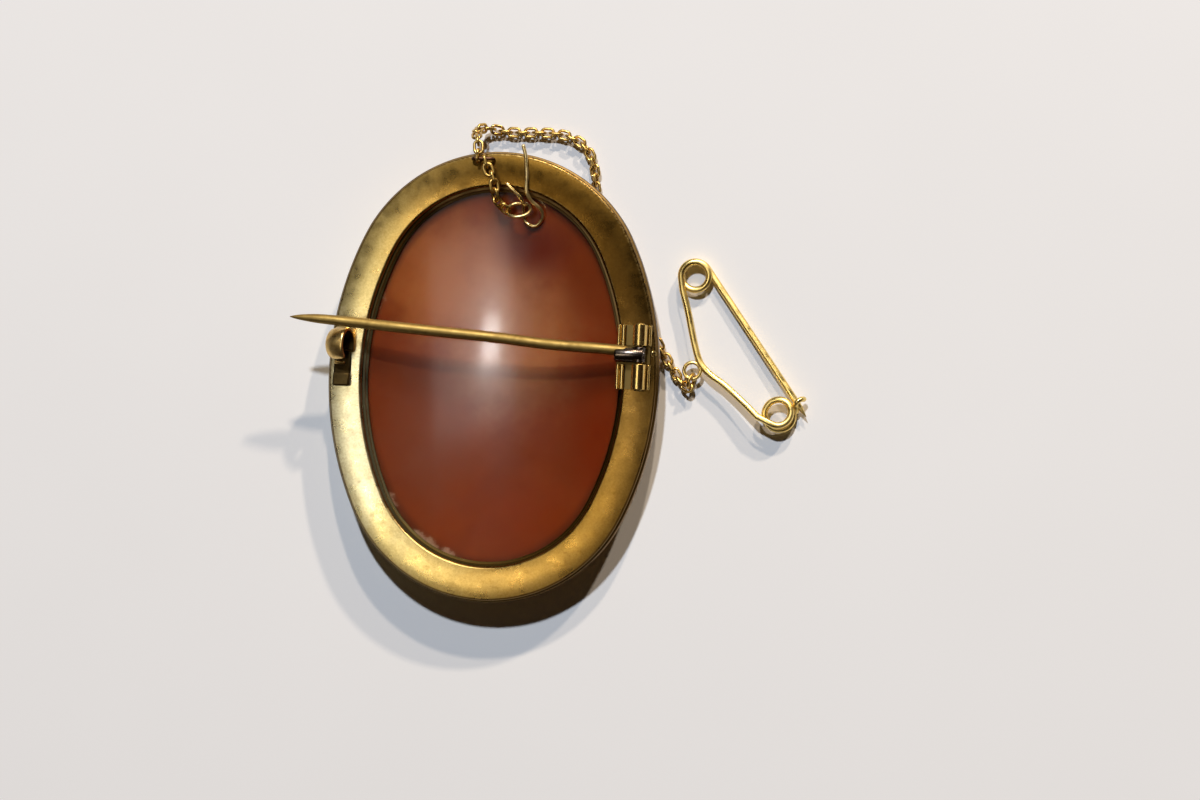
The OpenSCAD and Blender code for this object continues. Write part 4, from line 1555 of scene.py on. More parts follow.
@dataclass
class Pin:
    """The long pin: a joint block on the rivet and a slightly kinked stem."""

    stem_metal: Material
    joint_metal: Material
    axis: Place = (20.2, 3.5, 7.15)
    length: float = 47.2
    thick: float = 1.45
    side: float = 3.3
    rise: float = 2.35
    joint_l: float = 3.1
    joint_w: float = 2.1
    barrel_r: float = 0.95
    clearance: float = 0.14
    bore_r: float = 0.3
    socket_over: float = 0.6
    tip_r: float = 0.02

    STEPS = (
        StemStep(0.042, 0.145, 0.02), StemStep(0.064, 0.17, 0.03), StemStep(0.11, 0.205, 0.09),
        StemStep(0.17, 0.235, 0.16), StemStep(0.225, 0.265, 0.23), StemStep(0.28, 0.315, 0.29),
        StemStep(0.34, 0.39, 0.35), StemStep(0.40, 0.47, 0.41), StemStep(0.54, 0.60, 0.56),
        StemStep(0.68, 0.73, 0.72), StemStep(0.80, 0.85, 0.84, 0.97),
        StemStep(0.87, 0.92, 0.90, 0.93), StemStep(0.92, 0.96, 0.94, 0.84),
        StemStep(0.96, 0.985, 0.97, 0.6), StemStep(0.985, 0.995, 0.99, 0.34),
        StemStep(1.0, 1.0, 1.0, 0.08))
    # Steps of the smooth curve from each row of the table to the next
    FINE = 8

    def build(self) -> None:
        """Make the stem and the joint block."""
        at = Vector(self.axis)
        route = smooth_route([at + Vector((-step.along * self.length, step.drift * self.side,
                                           step.rise * self.rise)) for step in self.STEPS],
                             self.FINE)
        sizes = smooth_route([(step.thick * self.thick / 2, 0, 0) for step in self.STEPS],
                             self.FINE)
        stem = round_wire(route, [max(size.x, self.tip_r) for size in sizes], 24,
                          Vector((0, 1, 0)))
        stem.value("wear", lambda p: 0.25)
        finish_piece(stem.build("pin_stem", self.stem_metal), Body.PIN, Slot.PIN, "pin")
        self.joint(at)

    def joint(self, at: Vector) -> None:
        """Make the joint block: a barrel on the rivet and a socket for the stem.

        Args:
            at: Middle of the joint, on the rivet.
        """
        r, half, bore = self.barrel_r - self.clearance, self.joint_w / 2, self.bore_r
        barrel = turned([(bore, -half), (r - 0.1, -half), (r, -half + 0.1), (r, half - 0.1),
                         (r - 0.1, half), (bore, half)],
                        Matrix.Translation(at) @ Matrix.Rotation(math.radians(90), 4, "X"), 40)
        r, end, over = half - 0.03, self.joint_l + 0.15, self.socket_over
        socket = turned([(bore, -over - 0.2), (0.66, -over - 0.2), (0.72, -over - 0.14),
                         (0.72, -over), (r - 0.05, -over + 0.02), (r, -over + 0.1),
                         (r, end - 0.28), (r - 0.05, end - 0.12), (r - 0.16, end), (bore, end)],
                        Matrix.Translation(at) @ Matrix.Rotation(math.radians(-90), 4, "Y"), 40)
        block = barrel.join(socket)
        block.value("wear", lambda p: 0.5 if p.x < at.x - self.joint_l + 0.3 else 0.1)
        piece = block.build("pin_joint", self.joint_metal, 40.0, 0.04)
        finish_piece(piece, Body.PIN, Slot.PIN, "pin")


@dataclass
class Catch:
    """The C catch: a strip that curls over, on a foot soldered to the border."""

    metal: Material
    solder: Material
    x: float = -20.7
    y: float = 3.65
    base_z: float = 5.65
    hook_r: float = 1.7
    strip_t: float = 0.55
    strip_w: float = 2.3
    hook_w: float = 3.1
    drawn_out: float = 1.36
    hook_up: float = 0.45
    lean: float = 18.0
    foot_l: float = 4.9
    patch_from: Flat = (1.35, -1.6)
    patch_size: Flat = (1.0, 2.9)
    patch_z: float = 5.6

    # The hook's curl in degrees, its steps and the points of its section
    CURL = (-25.0, 250.0)
    CURL_STEPS = 56
    SIDES = 24
    # How square the section is, across the strip and through it
    SQUARE = (0.35, 0.6)
    # The solder patch: height of each ring and its share of the patch's size
    PATCH = ((0.0, 1.0), (0.07, 0.96), (0.13, 0.82), (0.16, 0.5), (0.17, 0.12))
    PATCH_SIDES = 40

    def section(self, tip: float) -> list[Flat]:
        """Give the strip's rounded section.

        Args:
            tip: Share of its full width.

        Returns:
            Distance of each point across the strip, and outwards from its middle.
        """
        points = []
        for k in range(self.SIDES):
            a = math.tau * k / self.SIDES
            c, s = math.cos(a), math.sin(a)
            across = math.copysign(abs(c) ** self.SQUARE[0], c) * self.hook_w / 2 * tip
            thick = self.strip_t / 2 * min(1.0, tip + 0.2)
            domed = 0.75 * max(0.0, -across / (self.hook_w / 2) - 0.05) ** 2.2
            points.append((across, math.copysign(abs(s) ** self.SQUARE[1], s) * thick - domed))
        return points

    def hook(self) -> Form:
        """Curl the strip's rounded section round the hook.

        Returns:
            The hook as a form, in its place.
        """
        middle = self.hook_r - self.strip_t / 2
        (start, end), steps = self.CURL, self.CURL_STEPS
        rings = []
        for k in range(steps + 1):
            a = math.radians(start + (end - start) * k / steps)
            out = Vector((0, math.sin(a), -math.cos(a)))
            rings.append([out * (middle + outwards) + Vector((across, 0, 0)) for across, outwards
                          in self.section(min(1.0, (steps - k) / 4 + 0.55))])
        form = Form().loft(rings)
        inside = middle - self.strip_t * 0.1
        # Painted shade inside the curl of the hook
        form.value("dirt", lambda p: 1.0 if p.x > -0.4 and math.hypot(p.y, p.z) < inside else 0.0)
        form.value("wear", lambda p: 0.35 if p.z > 0.6 else 0.1)
        top = Vector((0.0, self.hook_r, 0.0))
        longer = (Matrix.Translation(top) @ Matrix.Scale(self.drawn_out, 4, Vector((0, 1, 0)))
                  @ Matrix.Translation(-top))
        place = (self.x, self.y + self.hook_up, self.base_z + self.hook_r)
        return form.moved(Matrix.Translation(place)
                          @ Matrix.Rotation(math.radians(-self.lean), 4, "Y") @ longer)

    def build(self) -> None:
        """Make the hook, the strip, the foot and the solder beside it."""
        finish_piece(self.hook().build("catch_hook", self.metal, 60.0), *FRAME)
        end = self.y - self.foot_l - self.hook_r / 2
        half = self.strip_w / 2
        left, right = self.x - half + 0.3, self.x + half + 0.3
        # Grime and painted shade darken the strip under the hook and the foot; the ridge between
        # them stays clean
        strip = block((left - 0.05, end, self.base_z - 0.2),
                      (right, self.y, self.base_z + self.strip_t), 0.97)
        ridge = block((left, end + 2.9, self.base_z + 0.3),
                      (self.x + half - 0.4, end + 3.4, self.base_z + 0.95), 0.0)
        foot = block((left, end, self.base_z),
                     (right, end + 1.8, self.base_z + self.strip_t + 0.5), 0.93)
        form = strip.join(ridge).join(foot).value("wear", lambda p: 0.3)
        piece = form.build("catch_foot", self.metal, 35.0, 0.26)
        finish_piece(piece, *FRAME)
        self.solder_patch()

    def solder_patch(self) -> None:
        """Make the flat grey patch of solder beside the hook."""
        x, y = self.x + self.patch_from[0], self.y + self.patch_from[1]
        wide, long = self.patch_size
        rings = []
        for height, share in self.PATCH:
            ring = []
            for k in range(self.PATCH_SIDES):
                a = math.tau * k / self.PATCH_SIDES
                reach = share * (1 + 0.16 * math.sin(3 * a + 1) + 0.08 * math.sin(7 * a))
                ring.append(Vector((x + wide * reach * math.cos(a), y + long * reach * math.sin(a),
                                    self.patch_z + height)))
            rings.append(ring)
        piece = Form().loft(rings, dirt=0.0).build("solder_patch", self.solder)
        finish_piece(piece, *FRAME)


@dataclass
class Staple:
    """The wire loop near the rim's upper end that holds the chains."""

    metal: Material
    at: Place
    wire: float = 0.48
    width: float = 2.7
    height: float = 0.95
    corner: float = 0.4
    foot: float = 0.45
    dirt: float = 0.35

    def build(self) -> None:
        """Bend the loop out of round wire."""
        half = self.width / 2
        flat = ([(-half, -self.foot), (-half, 0.0)]
                + arc((-half + self.corner, self.height - self.corner), self.corner, 180, 90, 6)
                + [(0.0, self.height)]
                + arc((half - self.corner, self.height - self.corner), self.corner, 90, 0, 6)
                + [(half, 0.0), (half, -self.foot)])
        route = [Vector(self.at) + Vector((x, 0, z)) for x, z in flat]
        form = round_wire(route, [self.wire / 2] * len(route), 14, Vector((0, 1, 0)))
        form.value("dirt", lambda p: self.dirt)
        finish_piece(form.build("chain_staple", self.metal), *FRAME)


@dataclass(frozen=True)
class LinkSize:
    """Sizes of one chain link, their distance and how much their size spreads."""

    wire: float = 0.4
    length: float = 2.1
    width: float = 1.5
    pitch: float = 1.16
    spread: float = 0.015
    seed: int = 5


class LinkPlace(NamedTuple):
    """Where a link lies: its middle, its heading and its side."""

    middle: Vector
    heading: Vector
    side: Vector


@dataclass
class Chain:
    """A run of oval links along a route, each about a quarter turn from the one before.

    The rolls are those of the first link and the last, and the most that those between add.
    """

    name: str
    node: str
    route: Sequence[Sequence[float]]
    rolls: tuple[float, float, float]
    finish: Material
    size: LinkSize = LinkSize()

    # Steps of the smooth route between two chosen points, and points round a link and its wire
    FINE = 8
    LINK_SIDES = 26
    WIRE_SIDES = 12

    @staticmethod
    def level(way: Vector) -> Vector:
        """Give the level direction across a heading."""
        return Vector((-way.y, way.x, 0)).normalized()

    def middles(self) -> tuple[list[Vector], list[Vector]]:
        """Set out the links at equal distances.

        Returns:
            Middle of each link, and its heading.
        """
        line = smooth_route(self.route, self.FINE)
        runs = [0.0]
        for a, b in zip(line, line[1:]):
            runs.append(runs[-1] + (b - a).length)
        length = runs[-1]

        def at(run: float) -> Vector:
            """Give the point of the line at a running length."""
            i = max(k for k in range(len(runs) - 1) if runs[k] <= run)
            return line[i] + (line[i + 1] - line[i]) * (run - runs[i]) / (runs[i + 1] - runs[i])

        last = math.floor(length / self.size.pitch + 0.3)
        reach = self.size.length / 5
        middles = [at(length * min(i / last, 0.9999)) for i in range(last + 1)]
        ways = [(at(min(length * i / last + reach, length - 0.001))
                 - at(max(length * i / last - reach, 0.0))).normalized()
                for i in range(last + 1)]
        return middles, ways

    def places(self) -> list[LinkPlace]:
        """Work out middle, heading and side of each link.

        Returns:
            One place for each link.
        """
        middles, ways = self.middles()
        sides, side = [], self.level(ways[0])
        for way in ways:
            side = (side - side.dot(way) * way).normalized()
            sides.append(side.copy())
        last = len(ways) - 1
        start, end, middle_roll = self.rolls
        level = self.level(ways[-1])
        twist = math.degrees(math.atan2(level.cross(sides[-1]).dot(ways[-1]),
                                        level.dot(sides[-1])))
        slip = math.fmod(end - start - 90 * last - twist, 180)
        slip = math.fmod(slip + 270, 180) - 90
        places = []
        for i, (middle, way, side) in enumerate(zip(middles, ways, sides)):
            roll = math.radians(start + 90 * i + slip * i / last
                                + middle_roll * math.sin(math.pi * i / last))
            turned_side = math.cos(roll) * side + math.sin(roll) * way.cross(side)
            places.append(LinkPlace(middle, way, turned_side))
        return places

    def tree(self) -> Tree:
        """Build the tree that bends one link and sets it on each point.

        Returns:
            The geometry tree, with named inputs for the link's sizes.
        """
        wires, given, out = open_tree(
            "GeometryNodeTree", "LinkRun",
            {"Geometry": "Geometry", "Link Length": "Float", "Link Width": "Float",
             "Wire": "Float", "Spread": "Float", "Seed": "Int", "Finish": "Material"},
            {"Geometry": "Geometry"})
        bend = wires.maths("DIVIDE", wires.maths("SUBTRACT", given["Link Width"], given["Wire"]),
                           2.0)
        straight = wires.maths("DIVIDE", wires.maths("SUBTRACT", given["Link Length"],
                                                     given["Link Width"]), 2.0)
        circle = wires.add("GeometryNodeCurvePrimitiveCircle", {"Resolution": self.LINK_SIDES,
                                                                "Radius": bend})
        place = wires.add("GeometryNodeInputPosition")
        across = wires.add("ShaderNodeSeparateXYZ", {0: place}, "X")
        push = wires.maths("MULTIPLY", wires.maths("SIGN", across), straight)
        loop = wires.add("GeometryNodeSetPosition", {
            "Geometry": circle, "Offset": wires.add("ShaderNodeCombineXYZ", {0: push})})
        section = wires.add("GeometryNodeCurvePrimitiveCircle", {
            "Resolution": self.WIRE_SIDES, "Radius": wires.maths("DIVIDE", given["Wire"], 2.0)})
        link = wires.add("GeometryNodeCurveToMesh", {"Curve": loop, "Profile Curve": section})
        heading, side = (wires.add("GeometryNodeInputNamedAttribute", {"Name": label},
                                   data_type="FLOAT_VECTOR") for label in ("heading", "side"))
        turn = wires.add("FunctionNodeAxesToRotation", {0: heading, 1: side},
                         primary_axis="X", secondary_axis="Y")
        size = wires.add("FunctionNodeRandomValue", {
            2: wires.maths("SUBTRACT", 1.0, given["Spread"]),
            3: wires.maths("ADD", 1.0, given["Spread"]),
            "Seed": given["Seed"]}, 1, data_type="FLOAT")
        points = wires.add("GeometryNodeMeshToPoints", {"Mesh": given["Geometry"]})
        placed = wires.add("GeometryNodeInstanceOnPoints", {
            "Points": points, "Instance": link, "Rotation": turn, "Scale": size})
        return close_tree(wires, placed, given["Finish"], out)

    def build(self, extra: Form | None = None) -> None:
        """Set the links and fuse what else belongs to the chain.

        Args:
            extra: A further form of the same chain, such as its end ring.
        """
        places = self.places()
        seeds = bpy.data.meshes.new("link_places")
        seeds.from_pydata([place.middle * MM for place in places], [], [])
        for label in ("heading", "side"):
            seeds.attributes.new(label, "FLOAT_VECTOR", "POINT").data.foreach_set(
                "vector", [c for place in places for c in getattr(place, label)])
        mesh = realised(new_object("link_places", seeds), self.tree(), self.name, {
            "Link Length": self.size.length * MM, "Link Width": self.size.width * MM,
            "Wire": self.size.wire * MM, "Spread": self.size.spread, "Seed": self.size.seed,
            "Finish": self.finish})
        for label in ("heading", "side"):
            if label in mesh.attributes:
                mesh.attributes.remove(mesh.attributes[label])
        if extra is not None:
            self.fuse(mesh, extra)
        face_outwards(mesh)
        mesh.shade_smooth()
        finish_piece(new_object(self.name, mesh), Body.ROOT, Slot.CHAIN, self.node)

    @staticmethod
    def fuse(mesh: bpy.types.Mesh, extra: Form) -> None:
        """Add a form's faces to a finished mesh.

        Args:
            mesh: The finished mesh.
            extra: The form, which takes the mesh's own material.
        """
        work = bmesh.new()
        work.from_mesh(mesh)
        work.faces.ensure_lookup_table()
        finish = work.faces[0].material_index
        corners = [work.verts.new(p * MM) for p in extra.points]
        for face in extra.faces:
            work.faces.new([corners[i] for i in face]).material_index = finish
        work.to_mesh(mesh)
        work.free()


@dataclass
class Fittings:
    """The two chains with their rings, and the wire hook."""

    chain_metal: Material
    hook_metal: Material
    loop_at: Vector
    rest_z: float = 0.8
    end_ring_r: float = 1.0
    end_ring_wire: float = 0.44
    end_ring_at: Place = (26.4, 0.55, 1.3)
    end_ring_turn: Place = (0, 80, -15)
    jump_ring_r: float = 1.6
    jump_ring_wire: float = 0.5
    jump_ring_at: Place = (2.7, 22.35, 5.55)
    jump_ring_turn: Place = (-50, 0, 0)
    hook_wire_r: float = 0.25
    hook_wear: float = 0.4

    def chain_route(self) -> list[Sequence[float]]:
        """Give the chosen points of the long chain, from the wire loop to the safety pin.

        Returns:
            The points, in order.
        """
        z = self.rest_z
        return [self.loop_at + Vector((-0.6, 0.35, 0)), self.loop_at + Vector((-0.6, 1.5, 0)),
                (-3.15, 31.5, 6.35), (-3.55, 32.3, 5.3), (-3.85, 32.9, 4.0), (-3.7, 33.4, 2.8),
                (-3.05, 33.65, 1.75), (-2.0, 33.6, 1.05), (-0.8, 33.4, z), (1.4, 33.3, z),
                (4.1, 33.35, z), (7.0, 33.2, z), (9.2, 32.5, z), (10.7, 31.3, z),
                (11.6, 29.7, z), (12.05, 27.8, z), (12.2, 26.1, z), (12.55, 24.6, z),
                (14.3, 22.65, z), (15.95, 20.5, z), (17.15, 18.5, z), (18.35, 16.0, z),
                (19.6, 12.5, z), (20.5, 8.9, z), (21.0, 6.8, z), (21.9, 5.0, z), (23.0, 3.25, z),
                (24.0, 1.75, z), (24.9, 0.5, 0.9), (25.82, -0.2, 1.2)]

    def hook_chain_route(self) -> list[Sequence[float]]:
        """Give the chosen points of the short chain, from the wire loop to the ring.

        Returns:
            The points, in order.
        """
        return [self.loop_at + Vector((0.5, -0.35, 0)), (-1.4, 27.5, 6.75), (-0.85, 26.5, 6.75),
                (-0.5, 25.4, 6.72), (-0.45, 24.35, 6.45), (-0.05, 23.35, 6.1),
                (0.84, 22.47, 5.65)]

    def build(self) -> None:
        """Make the chains and what hangs in them."""
        end_ring = wire_ring(self.end_ring_r, self.end_ring_wire, self.end_ring_at,
                             self.end_ring_turn, 48, 12)
        Chain("safety_chain_links", "chain", self.chain_route(), (90, 0, 16),
              self.chain_metal).build(end_ring)
        Chain("hook_chain_links", "hook_chain", self.hook_chain_route(), (90, 35, 0),
              self.chain_metal).build()
        ring = wire_ring(self.jump_ring_r, self.jump_ring_wire, self.jump_ring_at,
                         self.jump_ring_turn)
        ring.value("wear", lambda p: self.hook_wear)
        piece = ring.build("hook_jump_ring", self.hook_metal)
        finish_piece(piece, Body.ROOT, Slot.CHAIN, "hook_ring")
        self.wire_hook()

    def wire_hook(self) -> None:
        """Bend the wire hook that hangs in the ring."""
        route = smooth_route([
            (1.1, 25.75, 6.2), (2.08, 24.85, 6.1), (3.0, 23.95, 5.75), (3.25, 23.1, 5.25),
            (3.2, 21.85, 4.35), (3.4, 21.0, 4.0), (4.15, 20.45, 4.0), (4.95, 20.5, 4.05),
            (5.65, 21.25, 4.3), (5.8, 22.1, 4.65), (5.4, 22.8, 5.1), (4.4, 23.65, 5.7),
            (3.9, 24.5, 6.1), (3.75, 25.3, 6.2), (3.75, 26.8, 6.2), (3.62, 28.15, 6.2),
            (3.5, 29.5, 6.2), (3.1, 30.9, 6.3)], 8)
        form = round_wire(route, [self.hook_wire_r] * len(route), 16)
        form.value("wear", lambda p: self.hook_wear)
        piece = form.build("wire_hook_bent", self.hook_metal)
        finish_piece(piece, Body.ROOT, Slot.CHAIN, "wire_hook")


@dataclass
class SafetyPin:
    """One bent wire: point, straight arm, spring coil, back arm, end coil and hook."""

    metal: Material
    wire: float = 0.9
    arm_l: float = 24.0
    coil_r: float = 1.87
    coil_at: Flat = (26.31, 14.65)
    arm_turn: float = 36.2
    arm_lift: float = 0.45
    coil_turn: float = 513.0
    end_at: Flat = (38.25, -3.15)
    end_from: float = 236.0
    end_turn: float = 513.0
    end_fall: float = 1.8
    eye_r: float = 1.1
    eye_wire: float = 0.52
    eye_at: Place = (26.5, 1.95, 1.45)

    # Where the straight arm has its points, from its sharp tip, in shares of its length
    ARM = (1, 0.99, 0.975, 0.955, 0.94, 0.9, 0.7, 0.5, 0.3, 0.12)
    # Thickness of the wire, in shares, at the first points of the tip, and along the hook
    TIP = (0.06, 0.2, 0.38, 0.6, 0.78)
    HOOK_THICK = 0.8
    HOOK_POINTS = 15
    COIL_STEPS = 60

    def __post_init__(self) -> None:
        """Work out the heights of the wire."""
        self.low = self.wire / 2 + 0.05
        self.top = self.low + self.wire + 0.15

    def coil_point(self, s: float) -> Vector:
        """Give a point of the spring coil, which climbs from the straight arm to the back arm.

        Args:
            s: Share along the coil.

        Returns:
            The point.
        """
        a = math.radians(self.arm_turn + self.coil_turn * s)
        return Vector((self.coil_at[0] + self.coil_r * math.cos(a),
                       self.coil_at[1] + self.coil_r * math.sin(a),
                       self.low + 0.1 + (self.top - self.low - 0.1) * s))

    def end_point(self, s: float) -> Vector:
        """Give a point of the end coil, which falls and opens a little in its second turn.

        Args:
            s: Share along the coil.

        Returns:
            The point.
        """
        a = math.radians(self.end_from + self.end_turn * s)
        r = self.coil_r - 0.1 + 0.2 * max(s - 0.47, 0) / 0.53
        drift = 0.585 * max(s - 0.32, 0) / 0.68
        return Vector((self.end_at[0] + r * math.cos(a), self.end_at[1] - drift + r * math.sin(a),
                       self.top + 0.75 - self.end_fall * s))

    def thickness(self, i: int, count: int) -> float:
        """Give the wire's thickness, in shares, at one of so many points of its route.

        Args:
            i: Number of the point.
            count: Number of them all.

        Returns:
            The share of its full thickness.
        """
        if i < len(self.TIP):
            return self.TIP[i]
        return self.HOOK_THICK if i >= count - self.HOOK_POINTS else 1.0

    def build(self) -> None:
        """Bend the wire and add the soldered eye."""
        top, turn = self.top, math.radians(self.arm_turn)
        way = Vector((math.sin(turn), -math.cos(turn), 0))
        arm = [self.coil_point(0) + way * self.arm_l * s + Vector((0, 0, self.arm_lift * s))
               for s in self.ARM]
        shares = [k / self.COIL_STEPS for k in range(self.COIL_STEPS + 1)]
        coil = [self.coil_point(share) for share in shares]
        back = smooth_route([(24.75, 12.6, top), (25.5, 10.2, top), (26.35, 6.7, top),
                             (27.1, 4.1, top), (27.85, 2.6, top), (29.2, 1.35, top + 0.05),
                             (30.6, 0.45, top + 0.15), (32.4, -1.0, top + 0.3),
                             (34.3, -2.65, top + 0.55), (35.6, -3.85, top + 0.7)], 5)
        end = [self.end_point(share) for share in shares]
        hook = smooth_route([end[-1], (40.5, -2.9, 0.85), (40.55, -2.3, 1.45), (40.7, -1.75, 2.0),
                             (41.2, -1.35, 1.9), (41.6, -1.25, 1.4)], 5)[1:]
        route = arm + coil + back + end + hook
        form = round_wire(route, [self.wire / 2 * self.thickness(i, len(route))
                                  for i in range(len(route))], 18)
        form.join(wire_ring(self.eye_r, self.eye_wire, self.eye_at, (0, 0, 0), 48, 14))
        form.value("wear", lambda p: 0.3)
        piece = form.build("safety_pin_wire", self.metal)
        finish_piece(piece, Body.ROOT, Slot.SAFETY, "safety_pin")


class Lit(Enum):
    """What a light falls on."""

    METAL_AND_FLOOR = "metal and floor"
    METAL = "metal"
    CATCH = "catch"
    RIM = "rim"
    SHELL = "shell"


class Lamp(NamedTuple):
    """A square soft light that looks at the brooch.

    The azimuth runs anticlockwise from +X and the elevation up from the floor, both in degrees.
    Distance and side are in metres, and the power is in watts.
    """

    name: str
    azimuth: float
    elevation: float
    distance: float
    side: float
    power: float
    colour: Colour
    lit: Lit


COOL, WARM, PALE = (0.92, 1.0, 1.12), (1.12, 0.94, 0.74), (1.0, 0.93, 0.84)
LAMPS = (
    Lamp("upper_high", 94, 55, 2.0, 0.09, 25.5, COOL, Lit.METAL_AND_FLOOR),
    Lamp("upper_low", 81, 34, 2.0, 0.07, 14.5, WARM, Lit.METAL_AND_FLOOR),
    Lamp("right_low", 63, 27, 2.0, 0.07, 17.0, WARM, Lit.METAL_AND_FLOOR),
    Lamp("metal_above", 209, 82, 1.2, 0.38, 0.95, PALE, Lit.METAL),
    Lamp("metal_side", 200, 70, 1.2, 0.34, 1.0, (1.0, 0.97, 0.84), Lit.METAL),
    Lamp("catch_glow", 160, 46, 1.2, 0.16, 0.5, (1.0, 0.96, 0.88), Lit.CATCH),
    Lamp("crown_spark", 192, 76.4, 1.2, 0.06, 0.13, (1.0, 1.0, 0.95), Lit.RIM),
    Lamp("shell_above", 189, 82.3, 1.2, 0.3, 0.62, (1.0, 0.93, 0.88), Lit.SHELL),
    Lamp("shell_key", 94, 55, 2.0, 0.06, 9.5, PALE, Lit.SHELL),
    Lamp("shell_fill", 85, 45, 1.5, 0.7, 22.0, (1.12, 0.78, 0.5), Lit.SHELL),
    Lamp("shell_spark", 184, 79.0, 1.2, 0.06, 0.6, (1.0, 1.0, 1.0), Lit.SHELL),
)


@dataclass
class Studio:
    """Pale floor, soft lights and the camera. Places are in millimetres."""

    eye: Place = (85.35, -13.80, 393.56)
    towards: Place = (0.17848, -0.02844, 0.98353)
    upright: Place = (-0.03990, 0.99855, 0.03612)
    lens: float = 89.21
    sensor: float = 36.0
    clip_start: float = 0.01
    floor_half: float = 1500.0
    floor_tones: tuple[Colour, Colour] = ((0.81, 0.805, 0.80), (0.84, 0.835, 0.83))
    floor_rough: float = 0.85
    sky: Colour = (1.0, 0.6, 0.36)
    sky_power: float = 0.022

    def floor(self) -> bpy.types.Object:
        """Lay the pale floor.

        Returns:
            The floor.
        """
        half = self.floor_half
        form = Form().add([Vector((x, y, 0)) for x, y in ((-half, -half), (half, -half),
                                                          (half, half), (-half, half))],
                          [(0, 1, 2, 3)])
        making = Surface("pale_card")
        wires, place = making.wires, making.place
        first, second = (rgb(*tone) for tone in self.floor_tones)
        floor = form.build("floor", making.finish({
            "Base Color": wires.mix(wires.noise(place, 25.0, 2.0), first, second),
            "Roughness": self.floor_rough,
            "Normal": making.bump(wires.noise(place, 3000.0, 2.0), 0.02, 0.1)}))
        return floor

    def camera(self) -> None:
        """Set the camera at the photograph's angle."""
        data = bpy.data.cameras.new("camera")
        data.lens = self.lens
        data.sensor_width = self.sensor
        data.clip_start = self.clip_start
        camera = new_object("camera", data)
        back = Vector(self.towards).normalized()
        right = Vector(self.upright).cross(back).normalized()
        turn = Matrix((right, back.cross(right), back)).transposed().to_4x4()
        camera.matrix_world = Matrix.Translation(Vector(self.eye) * MM) @ turn
        bpy.context.scene.camera = camera

    @staticmethod
    def light(lamp: Lamp, pieces: Sequence[bpy.types.Object]) -> None:
        """Set one of the lights.

        Args:
            lamp: Sizes of the light.
            pieces: The only pieces that it lights.
        """
        data = bpy.data.lights.new(lamp.name, "AREA")
        data.shape = "SQUARE"
        data.size = lamp.side
        data.energy = lamp.power
        data.color = lamp.colour
        light = new_object(lamp.name, data)
        a, e = math.radians(lamp.azimuth), math.radians(lamp.elevation)
        way = Vector((math.cos(a) * math.cos(e), math.sin(a) * math.cos(e), math.sin(e)))
        light.location = way * lamp.distance
        light.rotation_euler = way.to_track_quat("Z", "Y").to_euler()
        reached = bpy.data.collections.new(lamp.name + "_reaches")
        for piece in pieces:
            reached.objects.link(piece)
        light.light_linking.receiver_collection = reached

    def world(self) -> None:
        """Fill the room with a dim warm light."""
        world = bpy.data.worlds.new("studio")
        world.use_nodes = True
        sky = world.node_tree.nodes["Background"]
        sky.inputs["Color"].default_value = rgb(*self.sky)
        sky.inputs["Strength"].default_value = self.sky_power
        bpy.context.scene.world = world

    def build(self) -> None:
        """Set up the floor, the camera, the lights and the world."""
        pieces = [o for o in bpy.context.scene.objects if o.type == "MESH"]
        metal = [o for o in pieces if o.name != Cameo.PIECE]
        floor = self.floor()
        self.camera()
        lit = {Lit.METAL_AND_FLOOR: metal + [floor],
               Lit.METAL: metal,
               Lit.CATCH: [o for o in pieces if o.name.startswith("catch")],
               Lit.RIM: [o for o in pieces if o.name == Rim.PIECE],
               Lit.SHELL: [o for o in pieces if o.name == Cameo.PIECE]}
        for lamp in LAMPS:
            self.light(lamp, lit[lamp.lit])
        self.world()
        bpy.context.scene.view_settings.view_transform = "Standard"


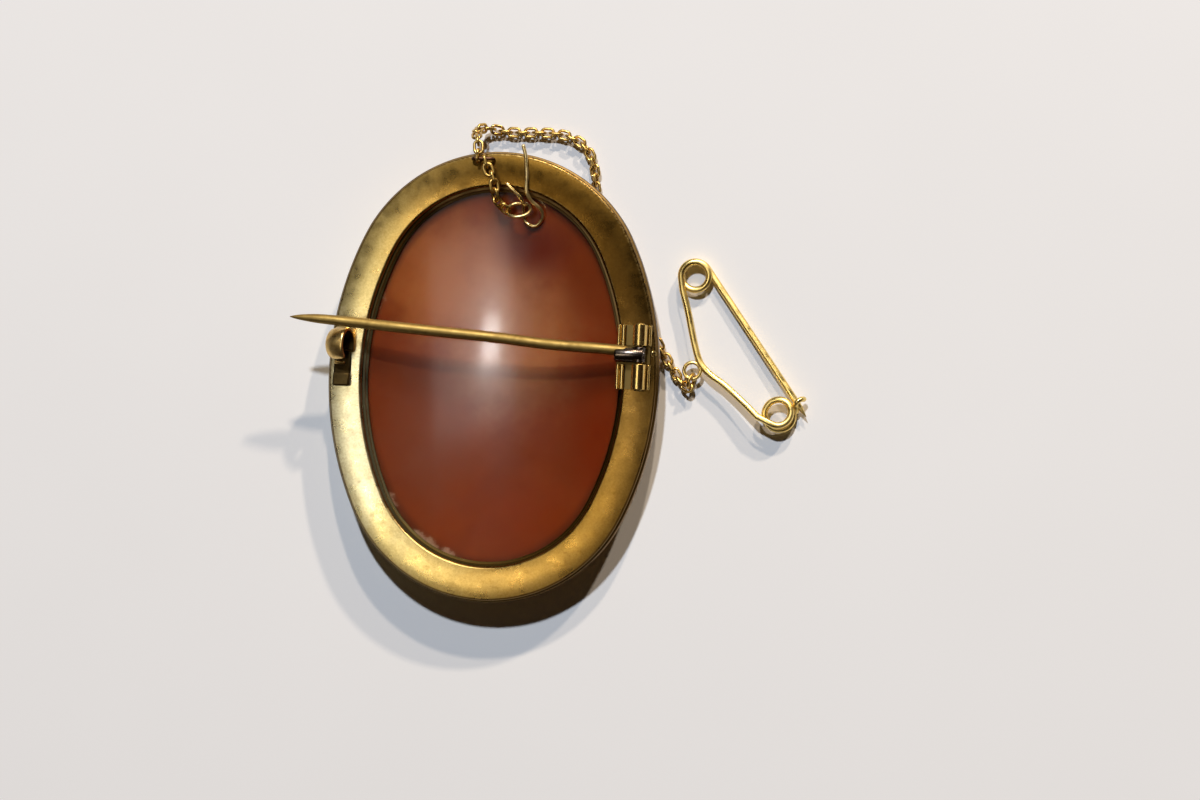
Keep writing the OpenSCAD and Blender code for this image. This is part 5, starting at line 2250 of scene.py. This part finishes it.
class Finish(Enum):
    """The metals of the brooch."""

    BORDER = GiltBorder("gilt_border", clean=(1.0, 1.0, 1.0), tarnished=(0.8, 0.75, 0.63),
                        rough=0.31, rough_spread=0.06, grain_size=0.12, grain_depth=0.006,
                        pits=0.08, stain_size=1.1, stain_cover=0.48)
    FITTING = Metal("fitting_brass", clean=(0.78, 0.53, 0.17), tarnished=(0.42, 0.23, 0.055),
                    rough=0.2, rough_spread=0.05, grain_depth=0.0006, pits=0.0, stain_size=1.4,
                    stain_cover=0.42, rubbed=(0.86, 0.66, 0.28))
    PIN = Metal("pin_brass", clean=(0.29, 0.19, 0.055), tarnished=(0.18, 0.11, 0.03),
                rough=0.52, rough_spread=0.06, grain_depth=0.0015, pits=0.1, stain_size=2.0,
                rubbed=(0.46, 0.32, 0.1))
    STEEL = Metal("joint_steel", clean=(0.1, 0.08, 0.07), tarnished=(0.075, 0.052, 0.04),
                  rough=0.24, rough_spread=0.03, grain_depth=0.0004, pits=0.0,
                  rubbed=(0.26, 0.2, 0.13))
    SOLDER = Metal("grey_solder", clean=(0.3, 0.28, 0.23), tarnished=(0.15, 0.12, 0.07),
                   rough=0.4, grain_depth=0.01)
    CATCH = Metal("catch_brass", clean=(0.75, 0.5, 0.17), tarnished=(0.3, 0.17, 0.05),
                  rough=0.3, grain_depth=0.002, pits=0.3, stain_size=1.0,
                  rubbed=(0.6, 0.45, 0.2))
    CHAIN = Metal("chain_brass", clean=(0.6, 0.39, 0.11), tarnished=(0.28, 0.16, 0.045),
                  rough=0.3, grain_depth=0.0008, pits=0.2, stain_size=0.8, stain_cover=0.5)
    PALE = Metal("pale_brass", clean=(0.79, 0.58, 0.23), tarnished=(0.52, 0.35, 0.12),
                 rough=0.3, grain_depth=0.0008, pits=0.2, stain_size=1.2, stain_cover=0.42)
    SAFETY = Metal("safety_brass", clean=(0.9, 0.65, 0.2), tarnished=(0.66, 0.42, 0.1),
                   rough=0.33, grain_depth=0.0008, pits=0.05, stain_size=1.6,
                   stain_cover=0.42, rubbed=(0.95, 0.76, 0.34))
    DARK_WIRE = Metal("dark_wire", clean=(0.2, 0.1, 0.05), tarnished=(0.07, 0.035, 0.02),
                      rough=0.3, stain_size=1.0)


# Where the wire loop for the chains stands: across the rim, and inside its outer edge
STAPLE_X = -2.3
STAPLE_INSET = 1.05


def main() -> None:
    """Build the brooch piece by piece, then the studio."""
    logging.basicConfig(level=logging.INFO, format="%(name)s: %(message)s")
    effects = Effects()
    metal = {finish: finish.value.material(effects) for finish in Finish}
    oval = Oval()
    rim = Rim(oval, metal[Finish.BORDER])
    rim.build()
    Cameo(oval, CarvedShell().material()).build()
    Hinge(metal[Finish.FITTING], metal[Finish.PIN]).build()
    Pin(metal[Finish.PIN], metal[Finish.STEEL]).build()
    Catch(metal[Finish.CATCH], metal[Finish.SOLDER]).build()
    foot = Vector((STAPLE_X, oval.edge_y(STAPLE_X) - STAPLE_INSET, rim.height))
    staple = Staple(metal[Finish.DARK_WIRE], tuple(foot))
    staple.build()
    Fittings(metal[Finish.CHAIN], metal[Finish.PALE],
             foot + Vector((0, 0, staple.height))).build()
    SafetyPin(metal[Finish.SAFETY]).build()
    Studio().build()


if __name__ == "__main__":
    main()
